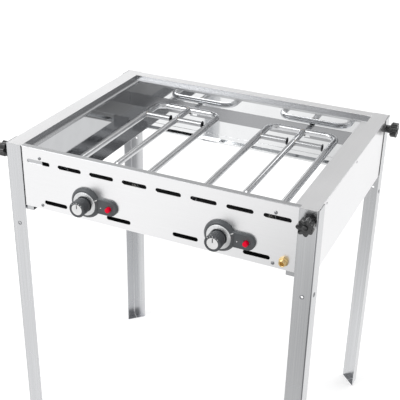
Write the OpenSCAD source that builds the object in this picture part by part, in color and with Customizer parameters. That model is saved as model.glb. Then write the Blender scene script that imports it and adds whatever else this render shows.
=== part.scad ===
// Free-standing stainless steel gas grill frame with two fork burners.
// Right is +X, the back is +Y, up is +Z, and the origin lies on the floor under the centre.

/* [Body] */
// Width over the legs
body_w = 740; // [700:5:800]
// Depth over the legs
body_d = 572; // [540:2:620]
// Height of the top edge above the floor
body_h = 825; // [700:5:950]
// Height of the outer panels
panel_h = 150; // [145:1:170]
// Sheet thickness of the outer panels
panel_t = 1.5; // [1:0.1:2]
// Sheet thickness of the inner sheets
lining_t = 1.2; // [0.8:0.1:1.5]

/* [Top rails] */
// Width of the side rails over the legs
side_rail_w = 40; // [34:1:48]
// Width of the rear rail over the legs
rear_rail_w = 30; // [26:1:38]
// Width of the front rail over the legs
front_rail_w = 15; // [12:1:20]
// Step down from the rails to the ledge that carries a plate or a grate
rail_drop = 8; // [5:0.5:12]
// Width of the side ledges
side_ledge_w = 18; // [12:1:24]
// Width of the rear ledge
rear_ledge_w = 20; // [14:1:24]
// Height of the turned-down lip at the inner edge of the ledges
ledge_lip = 5; // [3:0.5:8]
// Height of the turned-down lip of the front rail
front_lip = 7; // [4:0.5:10]

/* [Legs] */
// Width of each leg flange
leg_w = 40; // [36:1:46]
// Sheet thickness of the legs
leg_t = 1.5; // [1.2:0.1:2.5]
// Outer radius of the fold of a leg
leg_fold_r = 3; // [2.5:0.5:5]
// Gap of the mitre between the two foot tabs
foot_mitre_gap = 1; // [0.6:0.1:2]
// Radius of the holes half way down the body side of each leg
leg_hole_r = 3; // [2:0.5:4]
// Distance of those holes below the top edge
leg_hole_drop = 203; // [190:1:230]

/* [Star knobs] */
// Radius of the star knob over its lobes
star_r = 20; // [17:0.5:22]
// Radius of one lobe
star_lobe_r = 5.2; // [4:0.2:6]
// Number of lobes
star_lobes = 7; // [5:1:9]
// Height of the star shaped head
star_head_h = 16; // [10:0.5:20]
// Radius of the round boss under the head
star_boss_r = 9; // [8:0.5:11]
// Height of that boss
star_boss_h = 10.5; // [6:0.5:14]
// Distance of the star knobs below the top edge
star_drop = 28; // [26:1:36]
// Radius of the threaded stud
stud_r = 4; // [3:0.5:5]
// Length of the stud past the nut
stud_past = 4; // [2:1:8]
// Radius of the weld nut over its corners
nut_r = 7.5; // [7:0.5:9]
// Height of the weld nut
nut_h = 6.5; // [5:0.5:8]

/* [Front panel slots] */
// Length of a slot
slot_l = 60; // [50:1:66]
// Height of a slot
slot_h = 10; // [6:0.5:12]
// Distance from the legs to the nearest upper slots
slot_edge_gap = 14.4; // [10:0.2:20]
// Number of upper slots
slot_count = 8; // [6:2:8]
// Upper slot row below the top edge
slot_top_drop = 33.7; // [30:0.1:40]
// Lower slot row above the bottom edge of the panel
slot_low_rise = 19.7; // [17:0.1:24]

/* [Burners] */
// Distance of the two burners and their controls from the middle, as a share of the width
burner_share = 0.22; // [0.216:0.002:0.232]
// Radius of the burner tube
tube_r = 8; // [6:0.5:9]
// Radius of the middle tube and the cross tubes
mid_tube_r = 7.6; // [5.6:0.2:8.6]
// Bore radius of the open tube ends
tube_bore_r = 6.2; // [4:0.2:7]
// Distance between the legs of a fork
fork_pitch = 91.7; // [80:0.1:96]
// Distance of the burner tubes below the top edge
burner_drop = 68; // [60:1:76]
// Distance of the rear tube from the rear of the body
burner_rear_gap = 42; // [36:1:50]
// Centre line radius of the rear corners
fork_bend_r = 30; // [20:1:36]
// Distance from the rear tube to the cross tubes
cross_gap = 79; // [60:1:100]
// Length of a cross tube from the centre of its fork leg
cross_l = 76; // [60:1:78]
// Radius of the small holes in the fork legs
port_r = 3; // [2:0.5:4]
// Distance of those holes in front of the cross tubes
port_gap = 24; // [18:1:30]
// Where the middle tube starts to drop, from the front of the legs
drop_back = 138; // [136:1:146]

/* [Controls] */
// Control axis below the top edge
control_drop = 104.5; // [102:0.5:108]
// Radius of the plastic bezel
bezel_r = 36.5; // [35:0.5:40]
// Height of the bezel off the panel
bezel_h = 9; // [8:0.5:11]
// Height of the bezel rim
bezel_rim_h = 2.5; // [2:0.5:4]
// Height of the sunk floor inside the bezel
bezel_floor_h = 5; // [4:0.5:5]
// Distance from the knob to the button
button_offset = 61.5; // [59:0.5:66]
// Radius of the bezel tongue that carries the button
tongue_r = 19; // [16:0.5:21]
// Height of the tongue
tongue_h = 7; // [6:0.5:8]
// Width of the sloped edge of the tongue
tongue_slope = 2.5; // [1.5:0.5:4]
// Outer radius of the bright trim ring
ring_r = 28; // [26:0.5:30]
// Inner radius of the bright trim ring
ring_in_r = 18; // [18:0.5:20]
// Height of the trim ring
ring_h = 2.6; // [2:0.1:3.5]
// Radius of the knob at its face
knob_r = 19; // [17.5:0.5:20]
// Radius of the knob at its foot
knob_foot_r = 17; // [15:0.5:17]
// Distance from the front of the legs to the face of the knob
knob_out = 40; // [38:0.5:46]
// Gap between the bezel floor and the foot of the knob
knob_gap = 6; // [5:0.5:6]
// Push travel of the knob
knob_travel = 3; // [2:0.5:3]
// Radius of the spindle
spindle_r = 4; // [3:0.5:4.5]
// Radius of the valve neck
neck_r = 8; // [7:0.5:9]
// Outer radius of the push collar
collar_r = 6.5; // [6:0.5:8]
// Thickness of the push collar
collar_h = 2; // [1.5:0.5:2]
// Radius of the button
button_r = 5.75; // [5:0.25:7]
// Height of the button off the tongue
button_out = 10; // [8:0.5:12]
// Push travel of the button
button_travel = 5; // [3:0.5:5]
// Radius of the button stem
stem_r = 3.5; // [2.5:0.5:4]
// Length of the button stem
stem_l = 28; // [24:1:30]
// Radius of the igniter housing
igniter_r = 7.5; // [6.5:0.5:9]
// Length of the igniter housing
igniter_l = 42; // [38:1:50]

/* [Gas train] */
// Distance of the front shield behind the front of the legs
shield_gap = 60; // [58:1:66]
// Top of the front shield below the top edge
shield_drop = 30; // [27:1:34]
// Radius of the manifold pipe
pipe_r = 8; // [6.5:0.5:9]
// Manifold pipe below the top edge
pipe_drop = 130; // [129:0.5:132]
// Distance of the manifold pipe behind the panel
pipe_back = 20.5; // [18:0.5:24]
// Distance of the gas inlet from the side of the body
inlet_side = 65; // [64:1:70]
// Radius of the threaded inlet stub
inlet_r = 7.5; // [6.5:0.1:8.5]
// Length of the inlet stub in front of the panel
inlet_out = 13; // [10:1:20]
// Bore radius of the inlet stub
inlet_bore_r = 4.5; // [3:0.5:5]
// Radius of the inlet hexagons over the corners
inlet_hex_r = 11; // [10:0.5:11]
// Radius of the valve barrel
valve_r = 13; // [11:0.5:14]
// Length of the valve barrel
valve_l = 34; // [32:1:36]

/* [Bottom plates] */
// Distance of the inner edge of the bottom plates from the side of the body
plate_in = 60; // [50:1:66]
// Distance of their outer edge from the side of the body
plate_out = 10; // [6:1:14]
// Gap between the panels and the bottom plates
plate_gap = 12; // [8:1:14]
// Height of the fixing lips of the bottom plates
plate_lip = 20; // [16:1:20]
// Width of the rear bottom strip
strip_w = 12; // [10:1:18]

/* [Hidden] */
$fn = 48;
// Overrun of every cut
over = 1;
// Running clearance of turning and sliding pieces
run = 0.05;
// Clearance of a fixed piece in its hole
fit = 0.3;
// Gap between faces that pass each other
pass = 0.3;
// How much thinner a bend is than its tube, and how far the straight tubes reach into it
bend_step = 0.2;
bend_in = 1;
// Outer faces of the panels, measured from the middle
out_x = body_w / 2 - leg_t;
out_y = body_d / 2 - leg_t;
// Inner faces of the panels
in_x = out_x - panel_t;
in_y = out_y - panel_t;
// Inner faces of the linings
lin_x = in_x - lining_t;
lin_y = in_y - lining_t;
// How far the panels stay out of the rounded corners of the legs
corner_in = leg_fold_r - leg_t;
// Bottom edge of the panels
low_z = body_h - panel_h;
// Inner edges of the rails
rail_x = body_w / 2 - side_rail_w;
rail_y = body_d / 2 - rear_rail_w;
front_rail_y = body_d / 2 - front_rail_w;
// Inner edges of the ledges
ledge_x = rail_x - side_ledge_w;
ledge_y = rail_y - rear_ledge_w;
ledge_z = body_h - rail_drop;
// Slot rows
slot_pitch = 2 * (body_w / 2 - leg_w - slot_edge_gap - slot_l / 2) / (slot_count - 1);
slot_top_z = body_h - slot_top_drop;
slot_low_z = low_z + slot_low_rise;
// Star knob height and distance from the corner of the leg
star_z = body_h - star_drop;
star_in = leg_w / 2;
stud_play = 0.5;
stud_hole_r = stud_r + stud_play;
// Linings
lining_over_nut = 3.6;
lining_top = body_h - star_drop + nut_r + lining_over_nut;
// Inner edge of the front flanges of the side linings
flange_in = 94;
flange_x = body_w / 2 - flange_in;
flange_hole_r = 2.2;
screw_r = 2;
screw_head_r = 4;
screw_head_h = 2;
screw_in = 88.5;
screw_top_drop = 22.8;
screw_low_rise = 9.7;
// Rivets of the side ledges
rivet_r = 2;
rivet_h = 0.8;
rivet_drop = 7;
rivet_share = [-0.4, -0.016, 0.37];
// Bottom plates
plate_z = low_z - plate_gap;
strip_lip = 5;
// Controls
control_z = body_h - control_drop;
burner_x = body_w * burner_share;
burner_z = body_h - burner_drop;
foot_h = bezel_floor_h + knob_gap;
face_h = knob_out + leg_t;
knob_round = 1.5;
knob_dish_r_share = 0.7;
knob_dish_h = 0.6;
knob_bore_l = 20;
neck_h = bezel_floor_h - pass * 3;
collar_at = foot_h - collar_h;
spindle_in = 20;
valve_bore_l = spindle_in + 2 * knob_travel;
button_hole_r = button_r + run;
button_in = tongue_h - pass * 3;
// Gas train
inlet_x = body_w / 2 - inlet_side;
shield_y = -body_d / 2 + shield_gap;
shield_top = body_h - shield_drop;
shield_flange = 12;
pipe_z = body_h - pipe_drop;
pipe_y = -out_y + pipe_back;
pipe_bend_r = 14;
pipe_end = 26;
valve_block = 18;
inlet_hex_h = 5;
inlet_end_wall = 1;
hex_sides = 6;
injector_r = 6;
injector_hex_h = 6;
nozzle_r = 2.6;
nozzle_l = 6;
nozzle_in = 2;
shutter_r = 9.6;
shutter_l = 15;
shutter_slot = 5;
shutter_tail = 8;
// Burners
rear_y = body_d / 2 - burner_rear_gap;
cross_y = rear_y - cross_gap;
valve_end = -in_y + valve_l;
injector_end = valve_end + injector_hex_h + nozzle_l;
mouth_y = injector_end - nozzle_in;
mouth_bore_l = 24;
fork_end_y = shield_y - tube_r;
drop_h = burner_z - control_z;
drop_a = 37;
drop_bend_share = 0.49;
drop_bend_r = drop_h * drop_bend_share;
cross_bore_l = cross_l - tube_r * 2;
port_l = 4;
bracket_w = 14;
bracket_up = 22;
bracket_lip = 3;
// Electrodes and thermocouples
electrode_x = 22;
ceramic_r = 3.5;
ceramic_l = 46;
wire_r = 1.2;
wire_l = 16;
tip_rise = 14;
ceramic_front = 14;
couple_r = 2.4;
couple_l = 54;

steel = "lightsteelblue";
bright = "silver";
dark = "dimgray";

// Outline of a straight slot with round ends, centred
module slot_2d(l, h) {
    square([l - h, h], center = true);
    for (s = [-1, 1]) translate([s * (l - h) / 2, 0]) circle(d = h);
}

// A box given by its two corners
module box(a, b) {
    translate(a) cube(b - a);
}

// A hole or rod along Y, from y0 to y1
module rod_y(x, z, r, y0, y1, n = 48) {
    translate([x, y0, z]) rotate([-90, 0, 0]) cylinder(r = r, h = y1 - y0, $fn = n);
}

// A hole or rod along X, from x0 to x1
module rod_x(y, z, r, x0, x1, n = 48) {
    translate([x0, y, z]) rotate([0, 90, 0]) cylinder(r = r, h = x1 - x0, $fn = n);
}

// A tube bend that starts at the origin along +X and curves towards +Y; the straight tubes reach into it
module elbow(r, bend, a) {
    translate([0, bend, 0]) rotate([0, 0, -90]) rotate_extrude(angle = a) translate([bend, 0])
        circle(r = r - bend_step);
}

// Front panel with its slots, control holes and short rail
module front_panel() {
    color(steel) difference() {
        union() {
            box([-out_x + corner_in, -out_y, low_z], [out_x - corner_in, -in_y, body_h - panel_t]);
            box([-rail_x, -out_y, body_h - panel_t], [rail_x, -front_rail_y, body_h]);
            box([-rail_x, -front_rail_y - panel_t, body_h - front_lip], [rail_x, -front_rail_y, body_h]);
        }
        translate([0, -in_y + over, 0]) rotate([90, 0, 0]) linear_extrude(panel_t + 2 * over) {
            for (i = [0 : slot_count - 1])
                translate([(i - (slot_count - 1) / 2) * slot_pitch, slot_top_z]) slot_2d(slot_l, slot_h);
            for (i = [0 : slot_count / 2 - 1])
                translate([(i - (slot_count / 2 - 1) / 2) * 2 * slot_pitch, slot_low_z]) slot_2d(slot_l, slot_h);
        }
        for (s = [-1, 1]) {
            rod_y(s * burner_x, control_z, neck_r + fit, -out_y - over, -in_y + over);
            rod_y(s * burner_x + button_offset, control_z, stem_r + fit, -out_y - over, -in_y + over);
            for (z = [body_h - screw_top_drop, low_z + screw_low_rise])
                rod_y(s * (body_w / 2 - screw_in), z, flange_hole_r, -out_y - over, -in_y + over);
        }
        rod_y(inlet_x, pipe_z, inlet_r + fit, -out_y - over, -in_y + over);
        rod_y(body_w / 2 - star_in, star_z, stud_hole_r, -out_y - over, -in_y + over);
    }
}

// Side panel, drawn for the right side
module side_panel() {
    box([in_x, -in_y, low_z], [out_x, in_y, body_h]);
    box([rail_x, -out_y, body_h - panel_t], [out_x - corner_in, out_y, body_h]);
    box([rail_x, -out_y + corner_in, body_h - panel_t], [out_x, out_y - corner_in, body_h]);
    box([rail_x, -in_y, ledge_z - panel_t], [rail_x + panel_t, rail_y, body_h]);
    box([ledge_x, -front_rail_y, ledge_z - panel_t], [rail_x + panel_t, ledge_y, ledge_z]);
    box([ledge_x, -front_rail_y, ledge_z - ledge_lip], [ledge_x + panel_t, ledge_y, ledge_z]);
}

module side_rivet_holes() {
    for (k = rivet_share)
        rod_x(k * body_d, body_h - rivet_drop, rivet_r, in_x - over, out_x + over);
}

module left_panel() {
    color(steel) difference() {
        mirror([1, 0, 0]) difference() {
            side_panel();
            side_rivet_holes();
        }
        rod_x(-body_d / 2 + star_in, star_z, stud_hole_r, -out_x - over, -in_x + over);
    }
}

module right_panel() {
    color(steel) difference() {
        side_panel();
        side_rivet_holes();
        rod_x(body_d / 2 - star_in, star_z, stud_hole_r, in_x - over, out_x + over);
    }
}

// Rear panel with its rail and ledge
module rear_panel() {
    color(steel) difference() {
        union() {
            box([-out_x + corner_in, in_y, low_z], [out_x - corner_in, out_y, body_h - panel_t]);
            box([-rail_x, rail_y, body_h - panel_t], [rail_x, out_y, body_h]);
            box([-rail_x, rail_y, ledge_z - panel_t], [rail_x, rail_y + panel_t, body_h]);
            box([-rail_x, ledge_y, ledge_z - panel_t], [rail_x, rail_y + panel_t, ledge_z]);
            box([-ledge_x, ledge_y, ledge_z - ledge_lip], [ledge_x, ledge_y + panel_t, ledge_z]);
        }
        rod_y(-body_w / 2 + star_in, star_z, stud_hole_r, in_y - over, out_y + over);
    }
}

// Inner sheet of a side with its front flange, drawn for the right side
module side_lining() {
    box([lin_x, -in_y, low_z], [in_x, in_y, lining_top]);
    box([flange_x, -in_y, low_z + lining_t], [in_x, -lin_y, lining_top]);
}

module lining_screw_holes() {
    for (z = [body_h - screw_top_drop, low_z + screw_low_rise])
        rod_y(body_w / 2 - screw_in, z, flange_hole_r, -in_y - over, -lin_y + over);
}

module left_lining() {
    color(bright) difference() {
        mirror([1, 0, 0]) difference() {
            side_lining();
            lining_screw_holes();
        }
        rod_x(-body_d / 2 + star_in, star_z, stud_hole_r, -in_x - over, -lin_x + over);
    }
}

module right_lining() {
    color(bright) difference() {
        side_lining();
        lining_screw_holes();
        rod_y(inlet_x, pipe_z, inlet_r + fit, -in_y - over, -lin_y + over);
        box([flange_x - over, -in_y - over, slot_top_z - slot_h / 2 - fit],
            [body_w / 2 - leg_w - slot_edge_gap + fit, -lin_y + over, slot_top_z + slot_h / 2 + fit]);
        rod_x(body_d / 2 - star_in, star_z, stud_hole_r, lin_x - over, in_x + over);
        rod_y(body_w / 2 - star_in, star_z, stud_hole_r, -in_y - over, -lin_y + over);
    }
}

module rear_lining() {
    color(bright) difference() {
        box([-lin_x, lin_y, low_z], [lin_x, in_y, lining_top]);
        rod_y(-body_w / 2 + star_in, star_z, stud_hole_r, lin_y - over, in_y + over);
    }
}

// Heat shield between the burners and the controls, with a hole for each tube and a floor under the controls
module front_shield() {
    color(bright) difference() {
        union() {
            box([-lin_x, shield_y - lining_t, low_z], [lin_x, shield_y, shield_top]);
            box([-lin_x, shield_y - shield_flange, shield_top - lining_t], [lin_x, shield_y, shield_top]);
            box([-body_w / 2 + plate_in, -in_y, low_z], [body_w / 2 - plate_in, shield_y, low_z + lining_t]);
        }
        for (s = [-1, 1]) {
            for (k = [-1, 1])
                rod_y(s * burner_x + k * fork_pitch, burner_z, tube_r + fit, shield_y - 2 * over, shield_y + over);
            rod_y(s * burner_x, control_z, mid_tube_r + fit, shield_y - 2 * over, shield_y + over);
            rod_y(s * burner_x + electrode_x, control_z + tip_rise, ceramic_r + fit, shield_y - 2 * over, shield_y + over);
            rod_y(s * burner_x - electrode_x, control_z + tip_rise, couple_r + fit, shield_y - 2 * over, shield_y + over);
        }
    }
}

// Plate under one side of the fire space, drawn for the right side
module bottom_plate() {
    box([body_w / 2 - plate_in, -lin_y, plate_z], [body_w / 2 - plate_out, lin_y, plate_z + lining_t]);
    for (s = [-1, 1]) {
        a = s > 0 ? lin_y - lining_t : -lin_y;
        box([body_w / 2 - plate_in, a, plate_z], [body_w / 2 - plate_out, a + lining_t, plate_z + plate_lip]);
    }
}

module left_bottom_plate() {
    color(bright) mirror([1, 0, 0]) bottom_plate();
}

module right_bottom_plate() {
    color(bright) bottom_plate();
}

// Narrow channel under the rear edge
module rear_bottom_strip() {
    x = body_w / 2 - plate_in;
    color(bright) {
        box([-x, lin_y - strip_w, plate_z], [x, lin_y, plate_z + lining_t]);
        box([-x, lin_y - lining_t, plate_z], [x, lin_y, plate_z + plate_lip]);
        box([-x, lin_y - strip_w, plate_z], [x, lin_y - strip_w + lining_t, plate_z + strip_lip]);
    }
}

// Cross section of a leg, corner at the origin
module leg_2d() {
    translate([leg_fold_r, 0]) square([leg_w - leg_fold_r, leg_t]);
    translate([0, leg_fold_r]) square([leg_t, leg_w - leg_fold_r]);
    intersection() {
        square(leg_fold_r);
        translate([leg_fold_r, leg_fold_r]) difference() {
            circle(r = leg_fold_r);
            circle(r = leg_fold_r - leg_t);
        }
    }
}

// One leg in the corner given by the signs, with its star knob hole in the X or the Y flange
module leg(sx, sy, in_x_flange) {
    color(bright) translate([sx * body_w / 2, sy * body_d / 2, 0])
        mirror([sx > 0 ? 1 : 0, 0, 0]) mirror([0, sy > 0 ? 1 : 0, 0]) difference() {
            union() {
                linear_extrude(body_h) leg_2d();
                difference() {
                    linear_extrude(leg_t) polygon([[leg_t / 2, leg_t / 2], [leg_w, leg_t / 2], [leg_w, leg_t],
                        [leg_t, leg_w], [leg_t / 2, leg_w]]);
                    rotate([0, 0, 45]) box([leg_fold_r, -foot_mitre_gap / 2, -over],
                        [leg_w, foot_mitre_gap / 2, leg_t + over]);
                }
            }
            for (z = [body_h - leg_hole_drop]) {
                rod_x(leg_w / 2, z, leg_hole_r, -over, leg_t + over);
                rod_y(leg_w / 2, z, leg_hole_r, -over, leg_t + over);
            }
            if (in_x_flange) rod_x(star_in, star_z, stud_hole_r, -over, leg_t + over);
            else rod_y(star_in, star_z, stud_hole_r, -over, leg_t + over);
        }
}

module leg_front_left() { leg(-1, -1, true); }
module leg_front_right() { leg(1, -1, false); }
module leg_rear_right() { leg(1, 1, true); }
module leg_rear_left() { leg(-1, 1, false); }

// Places its child at star knob number i, with +Z pointing out of the leg
module at_star(i) {
    spots = [
        [[-body_w / 2, -body_d / 2 + star_in, star_z], [0, -90, 0]],
        [[body_w / 2 - star_in, -body_d / 2, star_z], [90, 0, 0]],
        [[body_w / 2, body_d / 2 - star_in, star_z], [0, 90, 0]],
        [[-body_w / 2 + star_in, body_d / 2, star_z], [-90, 0, 0]]];
    translate(spots[i][0]) rotate(spots[i][1]) children();
}

// Outline of the star: round lobes on a core
module star_2d() {
    circle(r = star_r - star_lobe_r);
    for (i = [0 : star_lobes - 1])
        rotate(i * 360 / star_lobes) translate([star_r - star_lobe_r, 0]) circle(r = star_lobe_r);
}

module star_knob(i) {
    crown = star_r - star_lobe_r;
    color(dark) at_star(i) difference() {
        union() {
            translate([0, 0, pass]) cylinder(r1 = star_boss_r, r2 = star_boss_r + star_boss_h / 9, h = star_boss_h);
            translate([0, 0, star_boss_h]) linear_extrude(star_head_h) star_2d();
            translate([0, 0, star_boss_h + star_head_h]) cylinder(r1 = crown, r2 = crown / 2, h = star_head_h / 8);
        }
        translate([0, 0, -over]) cylinder(r = stud_r + run, h = star_boss_h + star_head_h / 2 + over);
    }
}

module star_stud(i) {
    reach = leg_t + panel_t + lining_t + nut_h + stud_past;
    color(bright) at_star(i) translate([0, 0, -reach])
        cylinder(r = stud_r, h = reach + star_boss_h + star_head_h / 2 - pass);
}

module star_knob_front_left() { star_knob(0); }
module star_knob_front_right() { star_knob(1); }
module star_knob_rear_right() { star_knob(2); }
module star_knob_rear_left() { star_knob(3); }
module star_stud_front_left() { star_stud(0); }
module star_stud_front_right() { star_stud(1); }
module star_stud_rear_right() { star_stud(2); }
module star_stud_rear_left() { star_stud(3); }

// Weld nuts on the linings, one for each star knob
module weld_nuts() {
    at = leg_t + panel_t + lining_t + nut_h;
    color(bright) for (i = [0 : 3]) at_star(i) translate([0, 0, -at]) difference() {
        cylinder(r = nut_r, h = nut_h, $fn = hex_sides);
        translate([0, 0, -over]) cylinder(r = stud_r + run, h = nut_h + 2 * over);
    }
}

// Places its child at a control, with +Z pointing out of the front panel
module at_control(s) {
    translate([s * burner_x, -out_y, control_z]) rotate([90, 0, 0]) children();
}

// Dark plastic bezel: a raised disc and a tongue to the right for the button
module bezel(s) {
    color(dark) at_control(s) difference() {
        union() {
            rotate_extrude() polygon([[0, 0], [bezel_r, 0], [bezel_r, bezel_rim_h],
                [bezel_r - (bezel_h - bezel_rim_h) / 3, bezel_rim_h + (bezel_h - bezel_rim_h) * 2 / 3],
                [ring_r + (bezel_h - bezel_rim_h) / 3, bezel_h], [0, bezel_h]]);
            translate([button_offset, 0, 0]) {
                cylinder(r = tongue_r, h = bezel_rim_h);
                translate([0, 0, bezel_rim_h]) cylinder(r1 = tongue_r, r2 = tongue_r - tongue_slope, h = tongue_h - bezel_rim_h);
            }
            rotate([90, 0, 90]) linear_extrude(button_offset) polygon([[-tongue_r, 0], [tongue_r, 0],
                [tongue_r, bezel_rim_h], [tongue_r - tongue_slope, tongue_h],
                [tongue_slope - tongue_r, tongue_h], [-tongue_r, bezel_rim_h]]);
        }
        translate([0, 0, bezel_floor_h]) cylinder(r = ring_in_r + pass, h = bezel_h);
        translate([0, 0, -over]) cylinder(r = neck_r + fit, h = bezel_h);
        translate([button_offset, 0, -over]) cylinder(r = button_hole_r, h = tongue_h + 2 * over);
    }
}

module left_bezel() { bezel(-1); }
module right_bezel() { bezel(1); }

// Bright dished ring on the bezel
module trim_ring(s) {
    mid = (ring_r + ring_in_r) / 2;
    color(bright) at_control(s) translate([0, 0, bezel_h]) rotate_extrude()
        polygon([[ring_in_r, 0], [ring_r, 0], [ring_r, ring_h / 3], [mid + ring_h, ring_h],
            [mid - ring_h, ring_h], [ring_in_r, ring_h / 2]]);
}

module left_trim_ring() { trim_ring(-1); }
module right_trim_ring() { trim_ring(1); }

// Control knob, wider at its face, with a shallow dish in the face
module knob(s) {
    dish_r = knob_r * knob_dish_r_share;
    color(dark) at_control(s) difference() {
        rotate_extrude() polygon([[0, foot_h], [knob_foot_r, foot_h], [knob_r, face_h - 2 * knob_round],
            [knob_r, face_h - knob_round], [knob_r - knob_round / 3, face_h - knob_round / 3],
            [knob_r - knob_round, face_h], [dish_r, face_h], [dish_r - knob_dish_h, face_h - knob_dish_h],
            [0, face_h - knob_dish_h]]);
        translate([0, 0, foot_h - over]) cylinder(r = spindle_r + run, h = knob_bore_l + over);
    }
}

module left_knob() { knob(-1); }
module right_knob() { knob(1); }

// Valve spindle, turned and pushed by the knob
module spindle(s) {
    color(bright) at_control(s) translate([0, 0, -spindle_in])
        cylinder(r = spindle_r, h = spindle_in + foot_h + knob_bore_l - pass);
}

module left_spindle() { spindle(-1); }
module right_spindle() { spindle(1); }

// Collar that slides with the spindle but does not turn
module push_collar(s) {
    color(bright) at_control(s) translate([0, 0, collar_at - run]) difference() {
        cylinder(r = collar_r, h = collar_h);
        translate([0, 0, -over]) cylinder(r = spindle_r + run, h = collar_h + 2 * over);
    }
}

module left_push_collar() { push_collar(-1); }
module right_push_collar() { push_collar(1); }

// Red igniter button with its stem
module button(s) {
    color("crimson") at_control(s) translate([button_offset, 0, 0]) {
        translate([0, 0, button_in]) rotate_extrude() polygon([[0, 0], [button_r, 0],
            [button_r, tongue_h - button_in + button_out - button_r / 6],
            [button_r - button_r / 6, tongue_h - button_in + button_out],
            [0, tongue_h - button_in + button_out]]);
        translate([0, 0, button_in - stem_l]) cylinder(r = stem_r, h = stem_l + over);
    }
}

module left_button() { button(-1); }
module right_button() { button(1); }

// Igniter housing behind the panel
module igniter(s) {
    color("white") at_control(s) translate([button_offset, 0, -panel_t - igniter_l]) difference() {
        union() {
            cylinder(r = igniter_r, h = igniter_l);
            translate([0, 0, -igniter_r / 2]) cylinder(r1 = igniter_r / 3, r2 = igniter_r / 2, h = igniter_r / 2);
        }
        translate([0, 0, igniter_l - stem_l - button_travel]) cylinder(r = stem_r + run, h = stem_l + button_travel + over);
    }
}

module left_igniter() { igniter(-1); }
module right_igniter() { igniter(1); }

// Brass gas valve, seated behind the panel and on the manifold pipe
module gas_valve(s) {
    x = s * burner_x;
    color("goldenrod") difference() {
        union() {
            rod_y(x, control_z, neck_r, -out_y - neck_h, -in_y + over);
            rod_y(x, control_z, valve_r, -in_y, valve_end - valve_r / 3);
            rod_y(x, control_z, valve_r * 2 / 3, -in_y, valve_end);
            box([x - valve_block / 2, pipe_y - valve_block / 2, pipe_z],
                [x + valve_block / 2, pipe_y + valve_block / 2, control_z]);
        }
        rod_y(x, control_z, spindle_r + run, -out_y - neck_h - over, -out_y + valve_bore_l);
        rod_x(pipe_y, pipe_z, pipe_r + run, x - valve_block, x + valve_block);
    }
}

module left_gas_valve() { gas_valve(-1); }
module right_gas_valve() { gas_valve(1); }

// Injector that blows gas into the mouth of the middle tube
module injector(s) {
    x = s * burner_x;
    color("goldenrod") {
        rod_y(x, control_z, injector_r, valve_end, valve_end + injector_hex_h, hex_sides);
        rod_y(x, control_z, nozzle_r, valve_end, injector_end);
    }
}

module left_injector() { injector(-1); }
module right_injector() { injector(1); }

// Air shutter around the mouth of the middle tube, with two air windows
module air_shutter(s) {
    x = s * burner_x;
    y1 = mouth_y + shutter_tail;
    y0 = y1 - shutter_l;
    color(bright) difference() {
        rod_y(x, control_z, shutter_r, y0, y1);
        rod_y(x, control_z, mid_tube_r + run, y0 - over, y1 + over);
        box([x - shutter_r - over, y0 + shutter_slot / 4, control_z - shutter_slot / 2],
            [x + shutter_r + over, y0 + shutter_slot * 5 / 4, control_z + shutter_slot / 2]);
    }
}

module left_air_shutter() { air_shutter(-1); }
module right_air_shutter() { air_shutter(1); }

// Manifold pipe behind the panel, from a closed end to the elbow at the inlet
module manifold_pipe() {
    x1 = inlet_x - pipe_bend_r;
    color(bright) {
        rod_x(pipe_y, pipe_z, pipe_r, -burner_x - pipe_end, x1 + bend_in);
        translate([x1, pipe_y, pipe_z]) mirror([0, 1, 0]) elbow(pipe_r, pipe_bend_r, 90);
    }
}

// Brass gas inlet: threaded stub with a hexagon on the panel
module gas_inlet() {
    y1 = pipe_y - pipe_bend_r;
    color("gold") difference() {
        union() {
            rod_y(inlet_x, pipe_z, inlet_r, -out_y - inlet_out, y1);
            rod_y(inlet_x, pipe_z, inlet_hex_r, -out_y - inlet_hex_h, -out_y, hex_sides);
        }
        rod_y(inlet_x, pipe_z, inlet_bore_r, -out_y - inlet_out - over, y1 - inlet_end_wall);
    }
}

// Lock nut of the inlet, behind the panel
module inlet_locknut() {
    color("gold") difference() {
        rod_y(inlet_x, pipe_z, inlet_hex_r, -lin_y, pipe_y - pipe_bend_r, hex_sides);
        rod_y(inlet_x, pipe_z, inlet_r + run, -lin_y - over, pipe_y - pipe_bend_r + over);
    }
}

// Middle tube: straight at burner height, then two bends down to the valve axis
module middle_tube(x) {
    a = drop_a;
    fall = drop_h - 2 * drop_bend_r * (1 - cos(a));
    slope_l = fall / sin(a);
    run_l = 2 * drop_bend_r * sin(a) + slope_l * cos(a);
    y_start = -body_d / 2 + drop_back;
    rod_y(x, burner_z, mid_tube_r, y_start - bend_in, rear_y);
    rod_y(x, control_z, mid_tube_r, mouth_y, y_start - run_l + bend_in);
    translate([x, y_start, burner_z]) rotate([-90, 0, -90]) elbow(mid_tube_r, drop_bend_r, a);
    translate([x, y_start - run_l, control_z]) rotate([90, 0, 90]) elbow(mid_tube_r, drop_bend_r, a);
    translate([x, y_start - drop_bend_r * sin(a), burner_z - drop_bend_r * (1 - cos(a))])
        rotate([90 + a, 0, 0]) translate([0, 0, -bend_in]) cylinder(r = mid_tube_r, h = slope_l + 2 * bend_in);
}

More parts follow.
